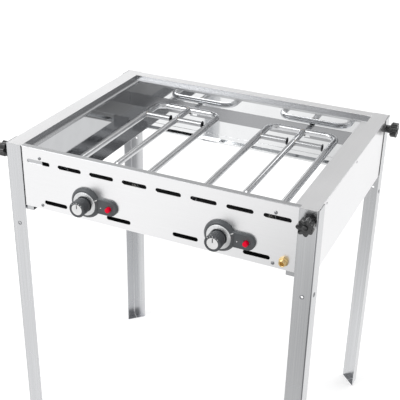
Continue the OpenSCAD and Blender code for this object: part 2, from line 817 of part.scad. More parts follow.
// Fork burner of welded tube: two long legs joined round the back, and the middle feed tube
module burner(s) {
    x = s * burner_x;
    color(bright) difference() {
        union() {
            for (k = [-1, 1])
                rod_y(x + k * fork_pitch, burner_z, tube_r, fork_end_y, rear_y - fork_bend_r + bend_in);
            rod_x(rear_y, burner_z, tube_r, x - fork_pitch + fork_bend_r - bend_in,
                x + fork_pitch - fork_bend_r + bend_in);
            translate([x - fork_pitch, rear_y - fork_bend_r, burner_z]) rotate([0, 0, 90])
                mirror([0, 1, 0]) elbow(tube_r, fork_bend_r, 90);
            translate([x + fork_pitch, rear_y - fork_bend_r, burner_z]) rotate([0, 0, 90])
                elbow(tube_r, fork_bend_r, 90);
            middle_tube(x);
        }
        rod_y(x, control_z, tube_bore_r, mouth_y - over, mouth_y + mouth_bore_l);
        for (k = [-1, 0])
            rod_x(cross_y - port_gap, burner_z, port_r, x + k * fork_pitch + tube_r - port_l, x + k * fork_pitch + tube_r + over);
    }
}

module left_burner() { burner(-1); }
module right_burner() { burner(1); }

// Cross tubes that carry the flame to the next leg, open at their right end
module cross_tubes(s) {
    color(bright) for (k = [-1, 0]) {
        x = s * burner_x + k * fork_pitch;
        leg_r = k < 0 ? tube_r : mid_tube_r;
        difference() {
            rod_x(cross_y, burner_z, mid_tube_r - pass, x, x + cross_l);
            rod_y(x, burner_z, leg_r + run, cross_y - 2 * tube_r, cross_y + 2 * tube_r);
            rod_x(cross_y, burner_z, tube_bore_r, x + cross_l - cross_bore_l, x + cross_l + over);
        }
    }
}

module left_cross_tubes() { cross_tubes(-1); }
module right_cross_tubes() { cross_tubes(1); }

// Bracket on the rear lining that carries the rear tube
module burner_bracket(s) {
    x = s * burner_x;
    top = burner_z - tube_r - run;
    color(bright) {
        box([x - bracket_w / 2, rear_y - tube_r, top - lining_t], [x + bracket_w / 2, lin_y, top]);
        box([x - bracket_w / 2, lin_y - lining_t, top - bracket_up], [x + bracket_w / 2, lin_y, top]);
        box([x - bracket_w / 2, rear_y - tube_r - lining_t, top - lining_t - bracket_lip],
            [x + bracket_w / 2, rear_y - tube_r, top]);
    }
}

module left_burner_bracket() { burner_bracket(-1); }
module right_burner_bracket() { burner_bracket(1); }

// Spark electrode: a ceramic sleeve through the shield with a wire to the tube
module electrode(s) {
    x = s * burner_x + electrode_x;
    y0 = shield_y - ceramic_front;
    color("white") {
        rod_y(x, control_z + tip_rise, ceramic_r, y0, y0 + ceramic_l);
        rod_y(x, control_z + tip_rise, wire_r, y0 - wire_l / 2, y0 + ceramic_l + wire_l);
    }
}

module left_electrode() { electrode(-1); }
module right_electrode() { electrode(1); }

// Flame sensor through the shield, on the other side of the tube
module thermocouple(s) {
    x = s * burner_x - electrode_x;
    y0 = shield_y - ceramic_front;
    color("goldenrod") {
        rod_y(x, control_z + tip_rise, couple_r, y0, y0 + couple_l);
        rod_y(x, control_z + tip_rise, couple_r * 3 / 2, y0, shield_y - lining_t);
    }
}

module left_thermocouple() { thermocouple(-1); }
module right_thermocouple() { thermocouple(1); }

// Screws that hold the linings behind the front panel
module front_screws() {
    color(bright) for (s = [-1, 1]) for (z = [body_h - screw_top_drop, low_z + screw_low_rise])
        translate([s * (body_w / 2 - screw_in), -out_y, z]) rotate([90, 0, 0]) {
            cylinder(r1 = screw_head_r, r2 = screw_head_r * 2 / 3, h = screw_head_h);
            translate([0, 0, -panel_t - lining_t - over]) cylinder(r = screw_r, h = panel_t + lining_t + 2 * over);
        }
}

// Small rivets that hold the ledges to the side panels
module side_rivets() {
    color(bright) for (m = [0, 1]) mirror([m, 0, 0]) for (k = rivet_share)
        translate([out_x, k * body_d, body_h - rivet_drop]) rotate([0, 90, 0]) {
            cylinder(r1 = rivet_r * 3 / 2, r2 = rivet_r, h = rivet_h);
            translate([0, 0, -panel_t]) cylinder(r = rivet_r - run, h = panel_t + rivet_h / 2);
        }
}

front_panel();
left_panel();
right_panel();
rear_panel();
left_lining();
right_lining();
rear_lining();
front_shield();
left_bottom_plate();
right_bottom_plate();
rear_bottom_strip();
leg_front_left();
leg_front_right();
leg_rear_right();
leg_rear_left();
star_knob_front_left();
star_knob_front_right();
star_knob_rear_right();
star_knob_rear_left();
star_stud_front_left();
star_stud_front_right();
star_stud_rear_right();
star_stud_rear_left();
weld_nuts();
left_bezel();
right_bezel();
left_trim_ring();
right_trim_ring();
left_knob();
right_knob();
left_spindle();
right_spindle();
left_push_collar();
right_push_collar();
left_button();
right_button();
left_igniter();
right_igniter();
left_gas_valve();
right_gas_valve();
left_injector();
right_injector();
left_air_shutter();
right_air_shutter();
manifold_pipe();
gas_inlet();
inlet_locknut();
left_burner();
right_burner();
left_cross_tubes();
right_cross_tubes();
left_burner_bracket();
right_burner_bracket();
left_electrode();
right_electrode();
left_thermocouple();
right_thermocouple();
front_screws();
side_rivets();
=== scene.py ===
"""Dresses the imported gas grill: sheet steel body, tube burners, controls, studio light and camera."""

import logging
import math
from abc import ABC, abstractmethod
from dataclasses import dataclass
from enum import Enum
from functools import cache
from itertools import product
from typing import Callable, Sequence

import bmesh
import bpy
from mathutils import Matrix, Vector


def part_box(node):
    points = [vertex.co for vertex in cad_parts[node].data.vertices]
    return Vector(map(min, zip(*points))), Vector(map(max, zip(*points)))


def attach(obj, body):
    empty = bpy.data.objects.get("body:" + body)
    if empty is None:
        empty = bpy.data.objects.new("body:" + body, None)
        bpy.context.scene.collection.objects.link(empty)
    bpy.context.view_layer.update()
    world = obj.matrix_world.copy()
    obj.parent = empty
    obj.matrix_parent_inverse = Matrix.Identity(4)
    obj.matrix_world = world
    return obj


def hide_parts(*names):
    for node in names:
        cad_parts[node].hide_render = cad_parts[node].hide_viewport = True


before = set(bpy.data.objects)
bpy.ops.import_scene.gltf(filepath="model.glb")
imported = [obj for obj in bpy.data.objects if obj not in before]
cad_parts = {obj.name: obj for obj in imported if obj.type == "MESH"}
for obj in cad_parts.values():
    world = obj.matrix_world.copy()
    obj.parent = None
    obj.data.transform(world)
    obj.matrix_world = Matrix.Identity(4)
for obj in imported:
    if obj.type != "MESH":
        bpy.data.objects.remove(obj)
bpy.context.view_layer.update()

logging.basicConfig(level=logging.INFO, format="%(message)s")
LOG = logging.getLogger("gas_grill")
MM = 0.001
# The front of the body and the outer sides of the legs, in millimetres from the middle.
FRONT_Y = -284.5
LEG_X = 370.0
LEG_Y = 286.0
# How far the knobs and the burners' feed tubes lie to each side of the middle.
CONTROL_X = 162.8
# The way that the controls face.
FORWARD = (0.0, -1.0, 0.0)
Profile = Sequence[tuple[float, float]]
Point = tuple[float, float, float]
Colour = tuple[float, float, float, float]
Shape = bmesh.types.BMesh
Edge = bmesh.types.BMEdge
Polygon = bpy.types.MeshPolygon
Material = bpy.types.Material
Tree = bpy.types.NodeTree
Node = bpy.types.Node
Socket = bpy.types.NodeSocket


def linear(code: str) -> Colour:
    """Turns an sRGB hex colour into the linear colour that a shader socket takes.

    Args:
        code: Six hex digits, such as "C8C9CA".

    Returns:
        Red, green, blue and an alpha of 1, all linear.
    """
    out = []
    for i in (0, 2, 4):
        c = int(code[i : i + 2], 16) / 255
        out.append(c / 12.92 if c <= 0.04045 else ((c + 0.055) / 1.055) ** 2.4)
    return (out[0], out[1], out[2], 1.0)


def wire(tree: Tree, node: Node, links: dict) -> None:
    """Links output sockets to a node's inputs, which go by name or index."""
    for key, socket in links.items():
        tree.links.new(socket, node.inputs[key])


def add(
    tree: Tree, kind: str, values: dict | None = None, links: dict | None = None, **settings: object
) -> Node:
    """Adds a node, sets it up and links its inputs.

    Args:
        tree: The node tree to add to.
        kind: The node's type name.
        values: Input name or index to value.
        links: Input name or index to the output socket that feeds it.
        **settings: Properties of the node itself.

    Returns:
        The new node.
    """
    node = tree.nodes.new(kind)
    for key, value in settings.items():
        setattr(node, key, value)
    for key, value in (values or {}).items():
        node.inputs[key].default_value = value
    wire(tree, node, links or {})
    return node


class Grain(Enum):
    """The way that the grain of a sheet or a tube runs."""

    X = 0
    Y = 1
    Z = 2


def pattern(
    tree: Tree, coords: Node, size: Sequence[float], low: float, high: float, detail: float = 3.0
) -> Socket:
    """Makes a noise with features of a real size and spreads it over a range of values.

    Args:
        tree: The node tree.
        coords: The coordinate node.
        size: Feature size along X, Y and Z in millimetres.
        low: The value where the noise is low.
        high: The value where the noise is high.
        detail: Octaves of the noise.

    Returns:
        The spread value.
    """
    scale = tuple(1 / (s * MM) for s in size)
    where = add(tree, "ShaderNodeMapping", {"Scale": scale}, {"Vector": coords.outputs["Object"]})
    noise = add(tree, "ShaderNodeTexNoise", {"Scale": 1.0, "Detail": detail}, {"Vector": where.outputs["Vector"]})
    # A noise stays mostly between 0.3 and 0.7, so that part is what spreads.
    limits = {"From Min": 0.3, "From Max": 0.7, "To Min": low, "To Max": high}
    return add(tree, "ShaderNodeMapRange", limits, {"Value": noise.outputs["Fac"]}).outputs["Result"]


@dataclass(frozen=True)
class Finish(ABC):
    """What all finishes share: a name, a colour, a gloss and the record's slot."""

    name: str
    colour: str
    roughness: float
    slot: str

    @abstractmethod
    def make(self) -> Material:
        """Builds the material with the pattern of its kind."""

    def start(self, metallic: float) -> tuple[Material, Tree, Node, Node]:
        """Makes the material with its shader and the object coordinates.

        Args:
            metallic: 1 for bare metal, 0 for plastic, paint and ceramic.

        Returns:
            The material, its node tree, the shader and the coordinate node.
        """
        material = bpy.data.materials.new(self.name)
        material.use_nodes = True
        tree = material.node_tree
        shader = tree.nodes["Principled BSDF"]
        shader.inputs["Base Color"].default_value = linear(self.colour)
        shader.inputs["Roughness"].default_value = self.roughness
        shader.inputs["Metallic"].default_value = metallic
        return material, tree, shader, add(tree, "ShaderNodeTexCoord")

    def darker(self, share: float) -> Colour:
        """Gives the colour with only a share of its light left."""
        red, green, blue, alpha = linear(self.colour)
        return (red * share, green * share, blue * share, alpha)


@dataclass(frozen=True)
class BrushedSheet(Finish):
    """Cold rolled stainless sheet, ground along one direction."""

    grain: Grain = Grain.X
    grain_mm: float = 1.6
    streak_mm: float = 120.0
    depth: float = 0.03
    shade: float = 0.975
    hand_mm: float = 180.0
    relief_mm: float = 0.05

    def make(self) -> Material:
        """Builds the material: faint streaks along the grain, and a gloss that drifts from hand to hand.

        Returns:
            The material.
        """
        material, tree, shader, coords = self.start(1.0)
        # The real grain is about 0.1 mm wide; it is drawn coarser so that it shows in the picture.
        size = [self.grain_mm] * 3
        size[self.grain.value] = self.streak_mm
        streak = pattern(tree, coords, size, 0.0, 1.0, 4.0)
        ends = {6: self.darker(self.shade), 7: linear(self.colour)}
        tint = add(tree, "ShaderNodeMix", ends, {0: streak}, data_type="RGBA")
        gloss = pattern(tree, coords, (self.hand_mm,) * 3, self.roughness - 0.02, self.roughness + 0.03, 2.0)
        height = {"Strength": self.depth, "Distance": self.relief_mm * MM}
        relief = add(tree, "ShaderNodeBump", height, {"Height": streak})
        wire(tree, shader, {"Base Color": tint.outputs[2], "Roughness": gloss, "Normal": relief.outputs["Normal"]})
        return material


@dataclass(frozen=True)
class PolishedSheet(Finish):
    """Bright annealed stainless sheet."""

    wave_mm: float = 160.0
    depth: float = 0.25
    haze_mm: float = 45.0
    shade: float = 0.95
    relief_mm: float = 0.25

    def make(self) -> Material:
        """Builds the material: a clear reflection that a slightly wavy surface bends, under a thin haze.

        Returns:
            The material.
        """
        material, tree, shader, coords = self.start(1.0)
        haze = pattern(tree, coords, (self.haze_mm,) * 3, 0.0, 1.0, 4.0)
        ends = {6: self.darker(self.shade), 7: linear(self.colour)}
        tint = add(tree, "ShaderNodeMix", ends, {0: haze}, data_type="RGBA")
        gloss = pattern(tree, coords, (self.haze_mm,) * 3, self.roughness * 0.7, self.roughness * 1.4, 4.0)
        wave = pattern(tree, coords, (self.wave_mm,) * 3, 0.0, 1.0, 1.0)
        height = {"Strength": self.depth, "Distance": self.relief_mm * MM}
        relief = add(tree, "ShaderNodeBump", height, {"Height": wave})
        wire(tree, shader, {"Base Color": tint.outputs[2], "Roughness": gloss, "Normal": relief.outputs["Normal"]})
        return material


@dataclass(frozen=True)
class DrawnTube(Finish):
    """Welded and drawn stainless tube, polished."""

    cloud_mm: float = 60.0
    grain: Grain = Grain.Y
    line_mm: float = 1.4
    line_length_mm: float = 70.0
    shade: float = 0.88

    def make(self) -> Material:
        """Builds the material: fine lines along the tube and faint grey clouds from the heat.

        Returns:
            The material.
        """
        material, tree, shader, coords = self.start(1.0)
        cloud = pattern(tree, coords, (self.cloud_mm,) * 3, 0.0, 1.0)
        ends = {6: self.darker(self.shade), 7: linear(self.colour)}
        tint = add(tree, "ShaderNodeMix", ends, {0: cloud}, data_type="RGBA")
        # The real lines are under 0.1 mm wide; they are drawn coarser so that they show.
        size = [self.line_mm] * 3
        size[self.grain.value] = self.line_length_mm
        lines = pattern(tree, coords, size, self.roughness - 0.04, self.roughness + 0.05)
        wire(tree, shader, {"Base Color": tint.outputs[2], "Roughness": lines})
        return material


@dataclass(frozen=True)
class TurnedMetal(Finish):
    """Metal cut on a lathe, with its own axis along Y."""

    centre: Point = (0.0, 0.0, 0.0)
    ring_mm: float = 0.7
    depth: float = 0.3
    cloud_mm: float = 14.0
    shade: float = 0.9
    relief_mm: float = 0.05

    def make(self) -> Material:
        """Builds the material: fine rings round the axis and a faint cloud.

        Returns:
            The material.
        """
        material, tree, shader, coords = self.start(1.0)
        away = tuple(-c for c in self.centre)
        where = add(tree, "ShaderNodeMapping", {"Location": away}, {"Vector": coords.outputs["Object"]})
        # At a scale of 1 the rings repeat every tau / 20 metres.
        values = {"Scale": math.tau / 20 / (self.ring_mm * MM), "Distortion": 0.6, "Detail": 2.0}
        source = {"Vector": where.outputs["Vector"]}
        rings = add(tree, "ShaderNodeTexWave", values, source, wave_type="RINGS", rings_direction="Y")
        cloud = pattern(tree, coords, (self.cloud_mm,) * 3, 0.0, 1.0)
        ends = {6: self.darker(self.shade), 7: linear(self.colour)}
        tint = add(tree, "ShaderNodeMix", ends, {0: cloud}, data_type="RGBA")
        height = {"Strength": self.depth, "Distance": self.relief_mm * MM}
        relief = add(tree, "ShaderNodeBump", height, {"Height": rings.outputs["Fac"]})
        wire(tree, shader, {"Base Color": tint.outputs[2], "Normal": relief.outputs["Normal"]})
        return material


@dataclass(frozen=True)
class MouldedPlastic(Finish):
    """Moulded plastic, print or glaze."""

    grit_mm: float = 0.5
    depth: float = 0.35
    clear: float = 0.0
    gleam: float = 0.5
    rub_mm: float = 18.0
    shade: float = 0.9
    relief_mm: float = 0.02

    def make(self) -> Material:
        """Builds the material: a fine grit from the mould, a little shinier where hands rub it.

        Returns:
            The material.
        """
        material, tree, shader, coords = self.start(0.0)
        shader.inputs["Coat Weight"].default_value = self.clear
        shader.inputs["Coat Roughness"].default_value = 0.08
        shader.inputs["Specular IOR Level"].default_value = self.gleam
        rub = pattern(tree, coords, (self.rub_mm,) * 3, 0.0, 1.0)
        ends = {6: self.darker(self.shade), 7: linear(self.colour)}
        tint = add(tree, "ShaderNodeMix", ends, {0: rub}, data_type="RGBA")
        gloss = pattern(tree, coords, (self.rub_mm,) * 3, self.roughness + 0.05, self.roughness - 0.05)
        grit = pattern(tree, coords, (self.grit_mm,) * 3, 0.0, 1.0, 2.0)
        height = {"Strength": self.depth, "Distance": self.relief_mm * MM}
        relief = add(tree, "ShaderNodeBump", height, {"Height": grit})
        wire(tree, shader, {"Base Color": tint.outputs[2], "Roughness": gloss, "Normal": relief.outputs["Normal"]})
        return material


@dataclass(frozen=True)
class WeldMetal(Finish):
    """Weld bead, as the torch leaves it."""

    tan: str = "A08F78"
    heat_mm: float = 5.0
    scale_mm: float = 0.9
    depth: float = 0.5
    relief_mm: float = 0.2

    def make(self) -> Material:
        """Builds the material: small scales, tanned here and there by the heat.

        Returns:
            The material.
        """
        material, tree, shader, coords = self.start(1.0)
        heat = pattern(tree, coords, (self.heat_mm,) * 3, 0.0, 0.7)
        ends = {6: linear(self.colour), 7: linear(self.tan)}
        tint = add(tree, "ShaderNodeMix", ends, {0: heat}, data_type="RGBA")
        scales = pattern(tree, coords, (self.scale_mm,) * 3, 0.0, 1.0, 2.0)
        height = {"Strength": self.depth, "Distance": self.relief_mm * MM}
        relief = add(tree, "ShaderNodeBump", height, {"Height": scales})
        wire(tree, shader, {"Base Color": tint.outputs[2], "Normal": relief.outputs["Normal"]})
        return material


@cache
def material_of(finish: Finish) -> Material:
    """Makes the material of a finish at the first call, and gives the same one after that."""
    return finish.make()


# Ground sheet of the outer panels: nearly white, with a soft reflection.
PANEL_X = BrushedSheet("ground_stainless_sheet_along_x", "FCFCFD", 0.30, "brushed_stainless", Grain.X)
PANEL_Y = BrushedSheet("ground_stainless_sheet_along_y", "FCFCFD", 0.30, "brushed_stainless", Grain.Y)
# The ledges for the plates and the steps down to them: the same sheet, with painted shade that makes them greyer.
SHADED_LEDGE = BrushedSheet("stainless_ledge_painted_shade", "B4B5B7", 0.22, "brushed_stainless", Grain.Y)
SHADED_REAR_LEDGE = BrushedSheet("stainless_rear_ledge_painted_shade", "CFD0D2", 0.22, "brushed_stainless", Grain.X)
# The narrow rail over the controls and its fold: the same sheet, with painted shade that makes it greyer.
SHADED_FRONT_RAIL = BrushedSheet("stainless_rail_painted_shade", "CACBCD", 0.30, "brushed_stainless", Grain.X)
# The bent outer corner of a leg: a painted dark reflection along the bend.
LEG_BEND_REFLECTION = BrushedSheet("leg_bend_painted_dark_reflection", "8E8F92", 0.30, "leg_stainless", Grain.Z, 2.0, 200.0)
# Leg angles: a greyer mill finish than the panels, with long streaks that show.
LEG_STEEL = BrushedSheet("smooth_stainless_angle", "DDDEE0", 0.26, "leg_stainless", Grain.Z, 2.4, 400.0, 0.03, 0.90)
# Linings: mirror bright, so that the burners show in them twice.
LINING = PolishedSheet("bright_annealed_stainless_sheet", "F5F6F7", 0.05, "polished_stainless", 160.0, 0.2)
# The left lining: the same sheet, a little hazier, with a painted dark reflection that makes it greyer.
LEFT_LINING = PolishedSheet("bright_stainless_sheet_painted_dark_reflection", "C9CACC", 0.06, "polished_stainless", 160.0, 0.2)
# The hem along the rear lining: ground along its length.
HEM = BrushedSheet("ground_stainless_hem", "B0B1B3", 0.20, "polished_stainless", Grain.X)
# Bottom plates: the same sheet, greyed by the heat of the burners over it.
HEATED = PolishedSheet("heat_greyed_stainless_sheet", "CACBCD", 0.10, "polished_stainless", 120.0, 0.2)
# The unlit room behind the controls: painted shade, dark sheet where light hardly reaches.
SHADE_SHEET = PolishedSheet("stainless_sheet_painted_shade", "565759", 0.5, "polished_stainless", 90.0, 0.2)
# Burner tubes: a bright polish with long highlights.
TUBE = DrawnTube("polished_stainless_tube", "DCDDDF", 0.14, "burner_tube")
# Flame ties between the tubes: ground, so duller and greyer.
CROSS_TUBE = DrawnTube("polished_stainless_cross_tube", "BCBDBF", 0.24, "burner_tube", 60.0, Grain.X)
# Collars at the open ends of the cross tubes, coloured dark.
DARK_COLLAR = DrawnTube("dark_collar_steel", "4A4B4F", 0.34, "burner_tube", 12.0, Grain.X)
# Gas pipe and air shutters: plain grey steel with a dull shine.
PIPE = DrawnTube("plain_steel_pipe", "8F9091", 0.34, "burner_tube")
# Weld beads: small bright scales, tanned by the torch.
WELD = WeldMetal("stainless_weld_bead", "B9B9B8", 0.35, "burner_tube")
# Studs, nuts and rivets: pale zinc plating, slightly satin.
ZINC = TurnedMetal("zinc_plated_steel", "BFC0C2", 0.3, "fastener_steel")
# Screw heads: the same zinc, greyer where drivers and hands have rubbed it.
SCREW_ZINC = TurnedMetal("rubbed_zinc_plated_steel", "9FA0A3", 0.36, "fastener_steel")
# Foot tabs: bent from the leg and bright inside, so the leg shows in them.
FOOT = PolishedSheet("bent_stainless_foot", "A2A3A6", 0.07, "leg_stainless", 60.0, 0.1)
# Painted shadow in the narrow gaps where panels and legs meet.
GAP_SHADOW = MouldedPlastic("painted_gap_shadow", "3C3C3D", 0.7, "black_plastic", 0.8, 0.3)
# Valves and injectors: brass gone dull in the heat.
BRASS = TurnedMetal("dull_brass", "8E7C55", 0.42, "brass")
# Flame sensors: copper, warm and shiny.
COPPER = TurnedMetal("drawn_copper", "C98963", 0.3, "copper")
# Star knobs: black and fairly glossy.
STAR_PLASTIC = MouldedPlastic("black_polyamide", "17181A", 0.24, "black_plastic", 0.6, 0.3, 0.7)
# Bezels: a satin dark grey, a shade lighter than the knobs.
GREY_PLASTIC = MouldedPlastic("dark_grey_polyamide", "585B5E", 0.42, "grey_plastic")
# Knob grips: the darker grey, a little shinier from hands.
KNOB_PLASTIC = MouldedPlastic("dark_grey_phenolic_plastic", "4D5053", 0.38, "grey_plastic")
# Igniter buttons: a full red that hardly gleams.
RED_PLASTIC = MouldedPlastic("red_plastic", "FF0034", 0.36, "red_plastic", 0.8, 0.1, 0.0, 0.12)
# Discs, ticks and index dots: matt white ink. The same white makes a painted glint bar on each bezel's rim.
PRINT_AND_GLINT = MouldedPlastic("white_ink_and_painted_glint", "FDFDFD", 0.5, "white_ceramic", 0.4, 0.1)
# Pointers on the discs: matt dark ink.
DARK_PRINT = MouldedPlastic("dark_grey_printing_ink", "45484A", 0.5, "grey_plastic", 0.4, 0.1)
# Igniter bodies and electrodes: cream white under a wet glaze.
CERAMIC = MouldedPlastic("glazed_ceramic", "E7E3D8", 0.2, "white_ceramic", 1.0, 0.1, 0.5)


def is_strip(face: bmesh.types.BMFace) -> bool:
    """Tells a narrow face of a rounded edge, under 0.9 mm wide, from a face of the sheet."""
    around = sum(edge.calc_length() for edge in face.edges)
    return 2 * face.calc_area() < 0.9 * MM * around


def finish_piece(
    bm: Shape,
    name: str,
    body: str,
    finish: Finish,
    smooth_angle: float = 35.0,
    replaces: Sequence[str] = (),
    sheet: bool = False,
) -> bpy.types.Object:
    """Turns a bmesh into a named piece with a material, on a body.

    Args:
        bm: The shape, in metres, in place. It is freed.
        name: The piece's name.
        body: The CAD body that it rides on.
        finish: Its finish.
        smooth_angle: Edges sharper than this stay sharp, in degrees.
        replaces: The CAD nodes that it stands for.
        sheet: True keeps flat faces flat, and only the rounded edges are smooth.

    Returns:
        The new object.
    """
    mesh = bpy.data.meshes.new(name)
    bm.to_mesh(mesh)
    flat = [sheet and not is_strip(face) for face in bm.faces]
    bm.free()
    # Normals that came along with a CAD node no longer fit its new faces.
    if "custom_normal" in mesh.attributes:
        mesh.attributes.remove(mesh.attributes["custom_normal"])
    mesh.shade_smooth()
    mesh.set_sharp_from_angle(angle=math.radians(smooth_angle))
    for face, keep in zip(mesh.polygons, flat):
        face.use_smooth = not keep
    piece = in_scene(name, mesh)
    mesh.materials.append(material_of(finish))
    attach(piece, body)
    if replaces:
        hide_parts(*replaces)
    LOG.info("%s: %d faces on %s", name, len(mesh.polygons), body)
    return piece


def second_finish(piece: bpy.types.Object, finish: Finish, chosen: Callable[[Polygon], bool]) -> None:
    """Gives some faces of a piece another finish.

    Args:
        piece: The piece.
        finish: The other finish.
        chosen: Tells the faces that get it.
    """
    piece.data.materials.append(material_of(finish))
    last = len(piece.data.materials) - 1
    for face in piece.data.polygons:
        if chosen(face):
            face.material_index = last


def dress(node: str, finish: Finish) -> None:
    """Gives a CAD node its material.

    Args:
        node: The node's name.
        finish: Its finish.
    """
    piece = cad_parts[node]
    material = material_of(finish)
    for place_for in piece.material_slots:
        place_for.material = material
    LOG.info("%s: CAD node in %s", node, finish.name)


def merged(node: str) -> Shape:
    """Copies a CAD node's loose triangles into one clean shape with flat faces joined.

    Args:
        node: The node's name.

    Returns:
        The copy.
    """
    bm = bmesh.new()
    bm.from_mesh(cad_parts[node].data)
    # Points that lie within a few micrometres are one, and so are faces in one plane.
    bmesh.ops.remove_doubles(bm, verts=bm.verts, dist=0.004 * MM)
    bmesh.ops.dissolve_degenerate(bm, edges=bm.edges, dist=0.002 * MM)
    bmesh.ops.dissolve_limit(bm, angle_limit=math.radians(0.6), verts=bm.verts, edges=bm.edges)
    return bm


def soften(
    bm: Shape,
    width_mm: float,
    segments: int,
    sharper: float = 40.0,
    chosen: Callable[[Edge], bool] = lambda edge: True,
) -> None:
    """Rounds the sharp edges of a shape.

    Args:
        bm: The shape.
        width_mm: How far the rounding reaches from the edge.
        segments: Steps in the rounding.
        sharper: Only edges that turn by more than this are rounded, in degrees.
        chosen: Tells which of these edges are rounded.
    """
    bm.normal_update()
    turn = math.radians(sharper)
    edges = [e for e in bm.edges if len(e.link_faces) == 2 and e.calc_face_angle(0.0) > turn and chosen(e)]
    bevel(bm, edges, width_mm, segments)


def bevel(bm: Shape, edges: Sequence[Edge], width_mm: float, segments: int) -> None:
    """Rounds given edges.

    Args:
        bm: The shape.
        edges: The edges.
        width_mm: How far the rounding reaches from the edge.
        segments: Steps in the rounding.
    """
    bmesh.ops.bevel(
        bm,
        geom=list(edges),
        offset=width_mm * MM,
        offset_type="OFFSET",
        affect="EDGES",
        segments=segments,
        profile=0.5,
        material=-1,
        clamp_overlap=True,
    )


def raise_faces(bm: Shape, height_mm: float) -> None:
    """Pulls all faces of a flat shape up into a closed solid.

    Args:
        bm: The flat shape.
        height_mm: How far it is pulled up.
    """
    out = bmesh.ops.extrude_face_region(bm, geom=bm.faces[:])
    top = [g for g in out["geom"] if isinstance(g, bmesh.types.BMVert)]
    bmesh.ops.translate(bm, verts=top, vec=(0, 0, height_mm * MM))
    bmesh.ops.recalc_face_normals(bm, faces=bm.faces)


def turned(profile: Profile, steps: int = 64) -> Shape:
    """Spins a profile round Z.

    Args:
        profile: Points of radius and height in millimetres; it starts and ends on the axis or closes on itself.
        steps: Steps round the axis.

    Returns:
        The closed shape.
    """
    bm = bmesh.new()
    verts = [bm.verts.new((r * MM, 0.0, h * MM)) for r, h in profile]
    edges = [bm.edges.new(pair) for pair in zip(verts, verts[1:])]
    middle = {"cent": (0, 0, 0), "axis": (0, 0, 1), "dvec": (0, 0, 0)}
    bmesh.ops.spin(bm, geom=verts + edges, angle=math.tau, steps=steps, use_merge=True, use_duplicate=False, **middle)
    bmesh.ops.remove_doubles(bm, verts=bm.verts, dist=0.001 * MM)
    bmesh.ops.recalc_face_normals(bm, faces=bm.faces)
    return bm


def rounded(profile: Profile, radius: float, steps: int = 3) -> list[tuple[float, float]]:
    """Rounds the inner corners of a profile.

    Args:
        profile: Points of radius and height.
        radius: How far the rounding reaches, at most a third of a side.
        steps: Steps in each corner.

    Returns:
        The rounded profile.
    """
    out = [tuple(profile[0])]
    for before, corner, after in zip(profile, profile[1:], profile[2:]):
        c = Vector(corner)
        a, b = Vector(before) - c, Vector(after) - c
        reach_a = min(radius, a.length / 3)
        reach_b = min(radius, b.length / 3)
        p, q = c + a.normalized() * reach_a, c + b.normalized() * reach_b
        for k in range(steps + 1):
            t = k / steps
            point = p * (1 - t) ** 2 + c * 2 * t * (1 - t) + q * t**2
            out.append((point.x, point.y))
    out.append(tuple(profile[-1]))
    return out


def top_face(bm: Shape) -> bmesh.types.BMFace:
    """Gives the highest face of a shape."""
    return max(bm.faces, key=lambda face: face.calc_center_median().z)


def in_scene(name: str, data: bpy.types.ID) -> bpy.types.Object:
    """Puts a mesh, a lamp or a camera into the scene as an object.

    Args:
        name: The object's name.
        data: What it shows.

    Returns:
        The object.
    """
    thing = bpy.data.objects.new(name, data)
    bpy.context.scene.collection.objects.link(thing)
    return thing


def join(target: Shape, other: Shape) -> None:
    """Adds one shape to another and frees it.

    Args:
        target: The shape that grows.
        other: The shape that is added.
    """
    mesh = bpy.data.meshes.new("joined")
    other.to_mesh(mesh)
    other.free()
    target.from_mesh(mesh)
    bpy.data.meshes.remove(mesh)


def block(a: Sequence[float], b: Sequence[float]) -> Shape:
    """Makes a block between two opposite corners.

    Args:
        a: One corner in millimetres.
        b: The other corner.

    Returns:
        The block.
    """
    bm = bmesh.new()
    size = [abs(q - p) * MM for p, q in zip(a, b)]
    middle = [(q + p) / 2 * MM for p, q in zip(a, b)]
    bmesh.ops.create_cube(bm, size=1.0, matrix=Matrix.Translation(middle) @ Matrix.Diagonal((*size, 1.0)))
    return bm


def carve(bm: Shape, cutter: Shape) -> Shape:
    """Cuts one shape out of another.

    Args:
        bm: The shape. It is freed.
        cutter: What is cut away. It is freed.

    Returns:
        What is left.
    """
    pair = []
    for name, shape in (("carved", bm), ("cutter", cutter)):
        mesh = bpy.data.meshes.new(name)
        shape.to_mesh(mesh)
        shape.free()
        pair.append(in_scene(name, mesh))
    change = pair[0].modifiers.new("cut", "BOOLEAN")
    change.operation, change.solver, change.object = "DIFFERENCE", "EXACT", pair[1]
    bpy.context.view_layer.update()
    done = bpy.data.meshes.new_from_object(pair[0].evaluated_get(bpy.context.evaluated_depsgraph_get()))
    out = bmesh.new()
    out.from_mesh(done)
    bpy.data.meshes.remove(done)
    for thing in pair:
        mesh = thing.data
        bpy.data.objects.remove(thing)
        bpy.data.meshes.remove(mesh)
    return out


def place(bm: Shape, at: Sequence[float], outward: Sequence[float], turn: float = 0.0) -> Shape:
    """Moves a shape so that its Z points outward at a place.

    Args:
        bm: The shape, drawn round the origin.
        at: The place in millimetres.
        outward: The direction that Z takes.
        turn: Turn about Z before that, in degrees.

    Returns:
        The same shape.
    """
    way = Vector(outward).to_track_quat("Z", "Y").to_matrix().to_4x4()
    matrix = Matrix.Translation(Vector(at) * MM) @ way @ Matrix.Rotation(math.radians(turn), 4, "Z")
    bmesh.ops.transform(bm, matrix=matrix, verts=bm.verts)
    return bm


